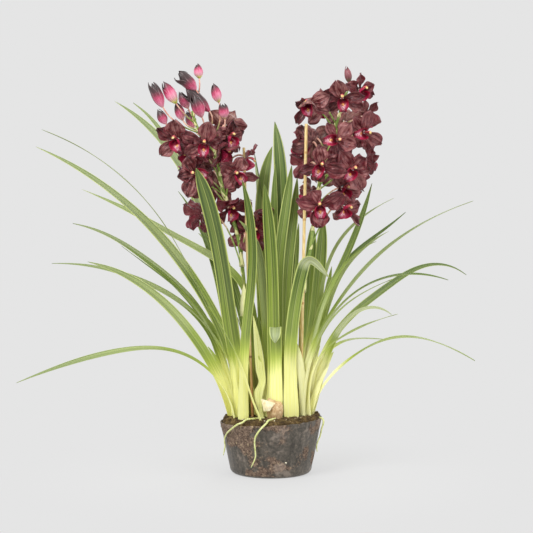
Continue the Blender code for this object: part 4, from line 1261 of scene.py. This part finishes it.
# Each tepal: direction from straight up (degrees), length and width (mm), lean out of the flower's flat
# at its root and at its tip (degrees), and cupping.
TEPALS = (
    (0, 37, 29.5, 24, 66, 0.42),
    (68, 38, 26, 40, -6, 0.26),
    (292, 38, 26, 40, -6, 0.26),
    (138, 38, 26.5, 32, -12, 0.30),
    (222, 38, 26.5, 32, -12, 0.30),
)
# Flowers whose tepals hang each in its own way, in the same terms.
OWN_TEPALS = {
    "flower_left_01": (
        (316, 37, 28, 35, 4, 0.3), (19, 39, 36, 38, 30, 0.4), (99, 28, 30, 20, 0, 0.3),
        (246, 39, 25, 30, 10, 0.4), (154, 31, 25, 20, -10, 0.3)),
    "flower_left_02": (
        (8, 40, 32, 24, 12, 0.35), (290, 40, 23, 20, -6, 0.3), (238, 36, 24, 20, -20, 0.3),
        (66, 30, 28, 20, -10, 0.3), (160, 26, 22, 0, -20, 0.3)),
    "flower_left_03": (
        (350, 29, 24, 30, 30, 0.4), (60, 28, 22, 30, 0, 0.3), (285, 28, 22, 30, 0, 0.3),
        (140, 28, 24, 30, 0, 0.3), (215, 28, 22, 30, -10, 0.3)),
    "flower_left_05": (
        (45, 32, 30, 20, 0, 0.3), (275, 40, 30, 20, -10, 0.35), (210, 34, 24, 15, -20, 0.3),
        (100, 26, 22, 10, -20, 0.3), (340, 30, 24, 20, 0, 0.3)),
    "flower_left_06": (
        (145, 42, 19, 20, -8, 0.45), (340, 38, 32, 26, 4, 0.4), (262, 34, 28, 34, 10, 0.4),
        (60, 28, 30, 10, -10, 0.3), (205, 26, 22, 10, -10, 0.3)),
    "flower_left_07": (
        (0, 30, 22, 12, -24, 0.4), (68, 30, 20, 4, -30, 0.3), (292, 30, 20, 4, -30, 0.3),
        (138, 32, 22, 2, -30, 0.3), (222, 32, 22, 2, -30, 0.3)),
    "flower_left_back_05": (
        (180, 32, 26, 20, 0, 0.3), (120, 30, 22, 20, 0, 0.3), (240, 30, 22, 20, 0, 0.3),
        (30, 26, 20, 20, 0, 0.3), (320, 26, 20, 20, 0, 0.3)),
    "flower_right_01": (
        (344, 36, 33, 28, 16, 0.35), (91, 37, 24, 24, -8, 0.3), (118, 40, 21, 26, -12, 0.4),
        (297, 34, 22, 14, -20, 0.3), (236, 28, 22, 10, -20, 0.3)),
    "flower_right_02": (
        (320, 28, 18, 30, 0, 0.3), (30, 26, 20, 40, 30, 0.4), (80, 26, 18, 30, 0, 0.3),
        (250, 34, 22, 20, -20, 0.3), (190, 26, 20, 20, -20, 0.3)),
    "flower_right_03": (
        (10, 32, 30, 60, 112, 0.5), (73, 36, 30, 14, -8, 0.3), (116, 34, 20, 20, -12, 0.3),
        (224, 40, 18, 26, -34, 0.5), (292, 26, 22, 50, 40, 0.3)),
    "flower_right_04": (
        (30, 38, 27, 24, 0, 0.3), (324, 36, 26, 22, 0, 0.35), (105, 38, 25, 22, -10, 0.3),
        (248, 30, 18, 22, -16, 0.3), (65, 38, 27, 10, -14, 0.3)),
    "flower_right_05": (
        (290, 35, 32, 26, 4, 0.35), (43, 37, 27, 24, 0, 0.35), (120, 26, 22, 10, -20, 0.3),
        (250, 30, 22, 14, -20, 0.3), (80, 30, 24, 10, -20, 0.3)),
    "flower_right_06": (
        (329, 37, 30, 24, 4, 0.4), (234, 38, 21, 24, -8, 0.3), (80, 46, 26, 26, -10, 0.4),
        (44, 32, 24, 14, -14, 0.3), (172, 28, 22, 10, -20, 0.3)),
    "flower_right_07": (
        (295, 37, 30, 22, -4, 0.35), (5, 30, 28, 30, 20, 0.35), (60, 31, 26, 24, 0, 0.3),
        (115, 39, 29, 26, -6, 0.3), (215, 26, 22, 10, -20, 0.3)),
    "flower_right_08": (
        (345, 36, 17, 10, -4, 0.4), (292, 26, 24, 10, -14, 0.3),
        (232, 30, 24, 10, -10, 0.3), (170, 34, 20, 10, 0, 0.4), (80, 32, 24, 10, 0, 0.3)),
    "flower_right_09": (
        (0, 30, 26, 6, -20, 0.3), (68, 27, 22, 2, -30, 0.3), (292, 27, 22, 2, -30, 0.3),
        (138, 29, 24, 2, -30, 0.3), (222, 29, 24, 2, -30, 0.3)),
    "flower_right_10": (
        (66, 43, 32, 30, 6, 0.45), (289, 38, 27, 30, -8, 0.4), (190, 36, 30, 36, 14, 0.4),
        (172, 34, 28, 34, 20, 0.4), (339, 27, 25, 0, -36, 0.3)),
    "flower_right_11": (
        (30, 27, 28, 20, 10, 0.35), (88, 57, 13, 14, -14, 0.7), (230, 34, 22, 10, -14, 0.3),
        (295, 22, 22, 20, 10, 0.3), (165, 26, 22, 20, -10, 0.3)),
    "flower_right_back_03": (
        (305, 31, 14, 20, 10, 0.5), (2, 28, 16, 0, 10, 0.4), (240, 30, 24, 20, 0, 0.3),
        (130, 30, 24, 20, 0, 0.3), (60, 28, 22, 20, 0, 0.3)),
    "flower_right_back_07": (
        (0, 24, 18, 10, 0, 0.4), (72, 24, 18, 10, 0, 0.3), (288, 24, 18, 10, 0, 0.3),
        (144, 30, 20, 10, 0, 0.3), (216, 30, 20, 10, 0, 0.3)),
    "flower_right_back_08": (
        (0, 26, 18, 20, 0, 0.4), (72, 24, 18, 20, 0, 0.3), (288, 24, 18, 20, 0, 0.3),
        (144, 26, 18, 20, 0, 0.3), (216, 26, 18, 20, 0, 0.3)),
}
TEPAL_COLUMNS = 8
TEPAL_ROWS = 11
TEPAL_THICKNESS = 0.0006
TEPAL_ROOT = 0.0024          # distance of a tepal's root from the flower's axis
TEPAL_WIDEST = 0.60          # share of the length at which a tepal is widest
TEPAL_ROOT_WIDTH = 0.30
TEPAL_TIP_WIDTH = 0.10
TEPAL_RIPPLE = 0.0030        # waviness of the margins
TEPAL_CRUMPLE = 0.0065       # how much the blade is bent out of its smooth shape
TEPAL_PUCKER = 0.0026        # depth of its small folds
TEPAL_RAGGEDNESS = 0.16      # unevenness of its outline, as a share of its half width

# The lip: share of its length, height and forward reach of its middle line (m), radius of its
# cross-section (m), and how far round either way that section runs (degrees).
LIP = (
    (0.00, -0.0005, 0.0015, 0.0034, 110),
    (0.15, -0.0030, 0.0045, 0.0054, 128),
    (0.32, -0.0062, 0.0082, 0.0078, 138),
    (0.48, -0.0090, 0.0115, 0.0096, 126),
    (0.60, -0.0116, 0.0136, 0.0098, 72),
    (0.74, -0.0156, 0.0142, 0.0092, 42),
    (0.88, -0.0196, 0.0120, 0.0086, 38),
    (1.00, -0.0216, 0.0084, 0.0076, 14),
)
LIP_COLUMNS = 14
LIP_ROWS = 16
LIP_THICKNESS = 0.0007
LIP_RIPPLE = 0.0010          # waviness of the tongue's margins
LOBE_REACH = 0.0022          # how far the side lobes reach forward
CALLUS_HEIGHT = 0.0018       # the cream ridge along the middle of the lip

# The column that arches over the lip: points of its middle line and its radius at each; and its cap.
COLUMN = ((0, 0.0, 0.001), (0, 0.0042, 0.0055), (0, 0.0070, 0.0100), (0, 0.0074, 0.0142))
COLUMN_RADII = (0.0018, 0.0021, 0.0026, 0.0029)
CAP_PLACE = (0, 0.0064, 0.0160)
CAP_RADIUS = 0.0027

# How crimson a flower's maroon is; the others draw it at random, up to WINE_LIMIT.
WINE = {
    "flower_left_04": 0.6, "flower_left_07": 0.9, "flower_left_08": 0.7, "flower_left_09": 0.9,
    "flower_left_back_01": 0.8, "flower_left_back_03": 0.7, "flower_left_back_04": 0.9,
    "flower_left_back_05": 0.7, "flower_left_back_06": 0.7, "flower_right_02": 0.6, "flower_right_04": 0.4,
    "flower_right_08": 0.9, "flower_right_09": 0.8, "flower_right_10": 0.5, "flower_right_back_03": 0.8,
    "flower_right_back_05": 0.9, "flower_right_back_07": 0.8,
}
WINE_LIMIT = 0.5


def tepal_width(share, sharpness):
    """Half width of a tepal as a share of its greatest: narrow at the root, round or drawn out at the tip."""
    if share < TEPAL_WIDEST:
        return TEPAL_ROOT_WIDTH + (1 - TEPAL_ROOT_WIDTH) * rise(share, 0.0, TEPAL_WIDEST)
    return max(TEPAL_TIP_WIDTH, (1 - ((share - TEPAL_WIDEST) / (1 - TEPAL_WIDEST)) ** 2.1) ** sharpness)


def tepal(shape, row, draw):
    """One sepal or petal, each a little different from the next, added to a bmesh."""
    direction, length, width, root_lean, tip_lean, cup = row
    direction = radians(direction + draw.uniform(-7, 7))
    length = length / 1000 * draw.uniform(0.94, 1.05)
    width = width / 1000 * draw.uniform(0.92, 1.08)
    root_lean += draw.uniform(-8, 8)
    tip_lean += draw.uniform(-24, 24)
    cup *= draw.uniform(0.5, 1.6)
    twist = radians(draw.uniform(-24, 24))
    waves, phase = draw.uniform(1.2, 2.4), draw.uniform(0, 6)
    sharpness = draw.uniform(0.55, 1.35)
    crease = Vector((draw.uniform(0, 9), draw.uniform(0, 9), 0))
    tone = draw.random()
    outward = Vector((sin(direction), cos(direction), 0))
    front = Vector((0, 0, 1))
    level = Vector((cos(direction), -sin(direction), 0))
    place = outward * TEPAL_ROOT
    stations = []
    for step in range(TEPAL_ROWS + 1):
        share = step / TEPAL_ROWS
        lean = radians(root_lean + (tip_lean - root_lean) * share)
        tangent = outward * cos(lean) + front * sin(lean)
        side = Matrix.Rotation(twist * share, 3, tangent) @ level
        stations.append((place.copy(), side, side.cross(tangent)))
        place += tangent * length / TEPAL_ROWS
    tone_layer = shape.verts.layers.float["tone"]
    for corner in sheet(shape, TEPAL_COLUMNS, TEPAL_ROWS):
        across, along = corner.co.x, corner.co.y
        place, side, lifted = stations[round(along * TEPAL_ROWS)]
        ragged = noise.noise(crease + Vector((rise(across, -1, 1) * 9, along * 4.5, 5)))
        half = width / 2 * tepal_width(along, sharpness) * (1 + TEPAL_RAGGEDNESS * ragged)
        ripple = TEPAL_RIPPLE * across ** 2 * sin(waves * 2 * pi * along + phase + 1.6 * across)
        bend = noise.noise(crease + Vector((across * 1.6, along * 2.6, 0)))
        pucker = noise.noise(crease + Vector((across * 3.4, along * 5.5, 3)))
        crumple = TEPAL_CRUMPLE * rise(along, 0.1, 0.5) * bend + TEPAL_PUCKER * rise(along, 0.1, 0.4) * pucker
        corner.co = place + side * half * across + lifted * (cup * half * across ** 2 + ripple + crumple)
        corner[tone_layer] = tone


def lip_row(share):
    """Middle line, radius and half angle of the lip's section at a share of its length."""
    for low, high in zip(LIP, LIP[1:]):
        if share <= high[0]:
            part = rise(share, low[0], high[0]) * 0.35 + 0.65 * (share - low[0]) / (high[0] - low[0])
            return [a + (b - a) * part for a, b in zip(low[1:], high[1:])]
    return LIP[-1][1:]


def lip(shape, draw):
    """The trough of the lip with its side lobes, and the tongue that bends down in front."""
    waves, phase = draw.uniform(1.5, 2.5), draw.uniform(0, 6)
    spread = draw.uniform(0.9, 1.08)
    for corner in sheet(shape, LIP_COLUMNS, LIP_ROWS):
        across, along = corner.co.x, corner.co.y
        height, reach, radius, half_angle = lip_row(along)
        before, after = lip_row(max(0.0, along - 0.05)), lip_row(min(1.0, along + 0.05))
        tangent = Vector((0, after[0] - before[0], after[1] - before[1])).normalized()
        lifted = Vector((0, tangent.z, -tangent.y))
        angle = across * radians(half_angle) * spread
        tongue = rise(along, 0.6, 0.75)
        ripple = LIP_RIPPLE * tongue * across ** 2 * sin(waves * 2 * pi * along * 2 + phase + 2 * across)
        callus = CALLUS_HEIGHT * (1 - rise(abs(across), 0.02, 0.22)) * (1 - abs(along - 0.42) / 0.25)
        corner.co = (Vector((radius * sin(angle), height, reach))
                     + lifted * (radius * (1 - cos(angle)) + ripple + max(0.0, callus))
                     + tangent * LOBE_REACH * rise(abs(across), 0.5, 1.0) * (1 - tongue))


def bloom(row):
    """One whole flower. Slots: tepal face and back, lip face and back, column, cap."""
    name, x, y, z, direction, pitch, turn, _ = row
    draw = Random(name)
    shape = bmesh.new()
    tone_layer = number_layer(shape, "tone")
    shape.loops.layers.uv.new("grain")
    done = set()

    def dress(slot, thickness=0.0):
        """Give what was just added its finish; a sheet gets a thickness, and the next finish on its back."""
        fresh = [face for face in shape.faces if face not in done]
        for face in fresh:
            face.material_index = slot
        if thickness:
            for face in bmesh.ops.solidify(shape, geom=fresh, thickness=thickness)["geom"]:
                if isinstance(face, bmesh.types.BMFace):
                    face.material_index = slot + 1
        done.update(shape.faces)
        return fresh

    for tepal_row in OWN_TEPALS.get(name, TEPALS):
        tepal(shape, tepal_row, draw)
    dress(0, TEPAL_THICKNESS)
    lip(shape, draw)
    dress(2, LIP_THICKNESS)
    rod(shape, smooth_path([Vector(point) for point in COLUMN], 2), smooth_path(COLUMN_RADII, 2), sides=8)
    bmesh.ops.recalc_face_normals(shape, faces=dress(4))
    cap = bmesh.ops.create_icosphere(shape, subdivisions=2, radius=CAP_RADIUS)["verts"]
    bmesh.ops.scale(shape, verts=cap, vec=(1.0, 0.85, 0.8))
    bmesh.ops.translate(shape, verts=cap, vec=CAP_PLACE)
    dress(5)
    wine = draw.random()
    wine_layer = number_layer(shape, "wine")
    for corner in shape.verts:
        corner[tone_layer] = corner[tone_layer] * 0.55 + wine * 0.45
        corner[wine_layer] = WINE.get(name, WINE_LIMIT * wine)
    front = facing(direction, pitch)
    right = Vector((0, 0, 1)).cross(front).normalized()
    frame_turn = Matrix((right, front.cross(right), front)).transposed().to_4x4()
    place = Matrix.Translation(Vector((x, y, z)) / 1000)
    bmesh.ops.transform(shape, verts=shape.verts,
                        matrix=place @ frame_turn @ Matrix.Rotation(radians(turn), 4, "Z"))
    return shape


def tepal_finish(name, deep, middle, light, vein, roughness):
    """Velvety maroon with lengthwise veins, a faintly redder margin, and soft pale streaks painted as
    highlights.
    """
    material, tree, _ = start_finish(name, roughness, Sheen_Weight=0.16, Sheen_Roughness=0.4)
    aside = part_of(tree, grain_map(tree), "X")
    lines = reckon(tree, "ABSOLUTE", reckon(tree, "SINE", times(tree, aside, 14.0)))
    streaks = cloud(tree, grain_map(tree, (5, 1.3, 1)), 1.0, 4, 0.6)
    blotch = cloud(tree, on_object(tree), 95, 3)
    creases = cloud(tree, grain_map(tree, (4, 3, 1)), 1.0, 2, 0.5, 0.8)
    own_tone = reckon(tree, "MULTIPLY_ADD", attribute(tree, "tone"), 0.16, -0.10)
    tone = reckon(tree, "ADD", weigh(tree, streaks, 0.7, blotch, 0.35), own_tone)
    # The band's light tone is painted highlight: pale mauve streaks standing in for the velvety sheen.
    body = ramp(tree, tone, (0.40, deep), (0.50, middle), (0.60, light))
    body = blend(tree, times(tree, attribute(tree, "wine"), 0.9), body, "6c0a22")
    in_vein = flip(tree, stretch(tree, lines, 0.0, 0.35))
    body = blend(tree, times(tree, in_vein, 0.38), body, vein)
    edge = stretch(tree, reckon(tree, "ABSOLUTE", aside), 0.86, 1.0)
    body = blend(tree, times(tree, edge, 0.7), body, "8a1c38")
    return end_finish(material, body, weigh(tree, creases, 2.4, lines, 0.4), 0.0009)


def between(tree, value, low, high, end_low, end_high):
    """Rises from 0 to 1 between the first two values, and falls back to 0 between the last two."""
    return times(tree, stretch(tree, value, low, high), flip(tree, stretch(tree, value, end_low, end_high)))


def lip_finish():
    """Crimson throat and rims, the throat darkened deep inside with painted shade, pale tongue with a cream
    ridge, and a dusky tip edged with pink.
    """
    material, tree, _ = start_finish("lip_face", 0.38)
    aside = aside_of(tree)
    spots = cloud(tree, on_object(tree), 520, 3, 0.6)
    wave = cloud(tree, on_object(tree), 190, 3)
    along = part_of(tree, grain_map(tree), "Y")
    reach = reckon(tree, "ADD", along, reckon(tree, "MULTIPLY_ADD", wave, 0.3, -0.15))
    # Painted shade: the band starts near black deep in the throat, where shade falls, before its crimson.
    body = ramp(tree, reach, (0.12, "36040e"), (0.34, "76082a"), (0.50, "a81c44"), (0.64, "b43660"),
                (0.78, "a82c50"), (0.88, "6a2438"), (0.98, "42202a"))
    pale = times(tree, flip(tree, stretch(tree, aside, 0.12, 0.46)),
                 between(tree, reach, 0.40, 0.56, 0.74, 0.88))
    body = blend(tree, times(tree, pale, 0.80), body, "f2c4cc")
    ridge = times(tree, flip(tree, stretch(tree, aside, 0.05, 0.17)),
                  between(tree, reach, 0.34, 0.42, 0.54, 0.62))
    body = blend(tree, ridge, body, "f6b660")
    body = blend(tree, times(tree, stretch(tree, aside, 0.62, 0.92), 0.8), body, "b4143e")
    body = blend(tree, times(tree, stretch(tree, spots, 0.52, 0.57), 0.9), body, "90102f")
    return end_finish(material, body, wave, 0.0006)


def fleshy_finish(name, scale, roughness, *tones):
    """Three tones mottled finely over a fleshy part."""
    return mottled_finish(name, roughness, scale, *zip((0.34, 0.50, 0.66), tones), depth=0.0003)


flower_looks = [
    # The third tone of each tepal finish is painted highlight.
    tepal_finish("petal_face", "340e12", "6a262a", "b67e78", "280a0e", 0.34),
    tepal_finish("petal_back", "44181a", "78403e", "b28a7c", "341216", 0.44),
    lip_finish(),
    fleshy_finish("lip_back", 260, 0.42, "7a0c2e", "b0204a", "cc4c70"),
    fleshy_finish("column", 300, 0.42, "a83048", "d4586a", "e69078"),
    fleshy_finish("column_cap", 420, 0.40, "f0b060", "f8d684", "fdeeb8"),
]
for flower_row in LEFT_FLOWERS + RIGHT_FLOWERS + LEFT_BACK_FLOWERS + RIGHT_BACK_FLOWERS:
    own_nodes = [flower_row[0]] if flower_row in LEFT_FLOWERS + RIGHT_FLOWERS else []
    round_off(add_piece(flower_row[0] + "_bloom", bloom(flower_row), flower_looks, "petal", *own_nodes))

# ================================================================ aerial roots
# Three pale yellow-green roots that creep over the soil and hang down the wall. Tubes drawn along their
# routes, tapering and slightly uneven.

# Each root: name, and the points of its route (mm).
ROOTS = (
    ("root_front", (7, -56, 97.9), (0, -68, 97.9), (-5, -77, 97.2), (-8, -85, 94), (-17, -91, 86),
     (-25, -89, 74), (-27, -84, 63), (-26, -81, 50), (-26, -78, 37), (-33, -72, 20)),
    ("root_left", (-12, -46, 97.9), (-22, -54, 97.9), (-40, -66, 97.8), (-47, -73, 94), (-56, -71, 90),
     (-66, -60, 81), (-74, -43, 71), (-78, -33, 59), (-77, -31, 48), (-80, -30, 33)),
    ("root_right", (68, -8, 98), (75, -12, 98), (81, -17, 94.9), (87, -20, 92.6), (88, -21, 86),
     (84.8, -20, 75), (82.5, -20, 64), (78, -24, 54), (76.4, -25, 46), (77.5, -24, 38)),
)
ROOT_RADIUS = 0.0019
ROOT_TIP_RADIUS = 0.0010
ROOT_UNEVENNESS = 0.12       # as a share of the radius


def root_shape(points):
    """A tube that tapers to a rounded tip."""
    path = smooth_path(millimetres(points), 6)
    last = len(path) - 1
    radii = []
    for step, place in enumerate(path):
        radius = ROOT_RADIUS + (ROOT_TIP_RADIUS - ROOT_RADIUS) * step / last
        tip_rounding = 0.55 + 0.45 * rise(last - step, 0, 3)
        radii.append(radius * tip_rounding * (1 + ROOT_UNEVENNESS * noise.noise(place * 260)))
    shape = bmesh.new()
    rod(shape, path, radii, sides=10)
    bmesh.ops.recalc_face_normals(shape, faces=shape.faces)
    return shape


root_look = mottled_finish("aerial_root", 0.55, 260, (0.32, "b8bf6c"), (0.50, "dce196"), (0.68, "eff0bc"),
                           detail=4, grit=0.6, depth=0.0004)
for name, *points in ROOTS:
    add_piece(name + "_strand", root_shape(points), [root_look], "aerial_root", name)

# ================================================================ studio
# A plain pale floor that fades into an equally pale surround, soft light from above and both sides, and
# a level camera in front of the plant.

CAMERA_PLACE = (-0.00765, -1.9, 0.349)
CAMERA_LENS = 75.49          # mm, on a film 36 mm wide
FLOOR_RADIUS = 9
FLOOR_BRIGHTNESS = 0.66
SURROUND = 0.783             # brightness of the pale surround
GLOW_AT_POT = 0.72           # share of the floor's brightness that doesn't take a shadow, under the pot
FADE_FROM = 0.10             # distance from the pot's axis at which the floor starts to fade, and
FADE_TO = 0.45               # at which it has become one with the surround
LIT_PLACE = (0, 0, 0.35)     # where the lights look
# Each light: name, place, size of its square (m) and power (W).
LIGHTS = (
    ("key_light", (-1.1, -1.6, 2.1), 1.1, 42),
    ("fill_light", (1.7, -1.3, 1.0), 1.4, 14),
    ("rim_light", (0.6, 1.8, 1.8), 1.4, 12),
)


def grey(brightness):
    """A colour without any tint."""
    return (brightness, brightness, brightness, 1.0)


def floor_finish():
    """Matt near the pot, where it takes a shadow, and glowing like the surround further out."""
    material, tree, shader = start_finish("studio_floor", 0.9)
    shader.inputs["Base Color"].default_value = grey(FLOOR_BRIGHTNESS)
    distance = add_node(tree, "VectorMath", {0: on_object(tree)}, operation="LENGTH").outputs["Value"]
    glowing = reckon(tree, "MULTIPLY_ADD", stretch(tree, distance, FADE_FROM, FADE_TO), 1 - GLOW_AT_POT,
                     GLOW_AT_POT)
    glow = add_node(tree, "Emission", {"Color": grey(SURROUND)}).outputs[0]
    fade = add_node(tree, "MixShader", {0: glowing, 1: shader.outputs[0], 2: glow}).outputs[0]
    fill(tree, tree.nodes["Material Output"].inputs["Surface"], fade)
    return material


plate = bmesh.new()
bmesh.ops.create_circle(plate, cap_ends=True, segments=96, radius=FLOOR_RADIUS)
floor_mesh = bpy.data.meshes.new("studio_floor")
plate.to_mesh(floor_mesh)
plate.free()
floor_mesh.materials.append(floor_finish())
floor = bpy.data.objects.new("studio_floor", floor_mesh)
bpy.context.scene.collection.objects.link(floor)

for name, place, size, power in LIGHTS:
    lamp = bpy.data.lights.new(name, "AREA")
    lamp.size = size
    lamp.energy = power
    holder = bpy.data.objects.new(name, lamp)
    bpy.context.scene.collection.objects.link(holder)
    holder.location = place
    holder.rotation_euler = (Vector(LIT_PLACE) - Vector(place)).to_track_quat("-Z", "Y").to_euler()

surround = bpy.data.worlds.new("studio")
bpy.context.scene.world = surround
surround.use_nodes = True
surround.node_tree.nodes["Background"].inputs["Color"].default_value = grey(SURROUND)
bpy.context.scene.view_settings.view_transform = "Standard"

camera = bpy.data.objects.new("camera", bpy.data.cameras.new("camera"))
bpy.context.scene.collection.objects.link(camera)
camera.data.lens = CAMERA_LENS
camera.location = CAMERA_PLACE
camera.rotation_euler = (pi / 2, 0, 0)
bpy.context.scene.camera = camera
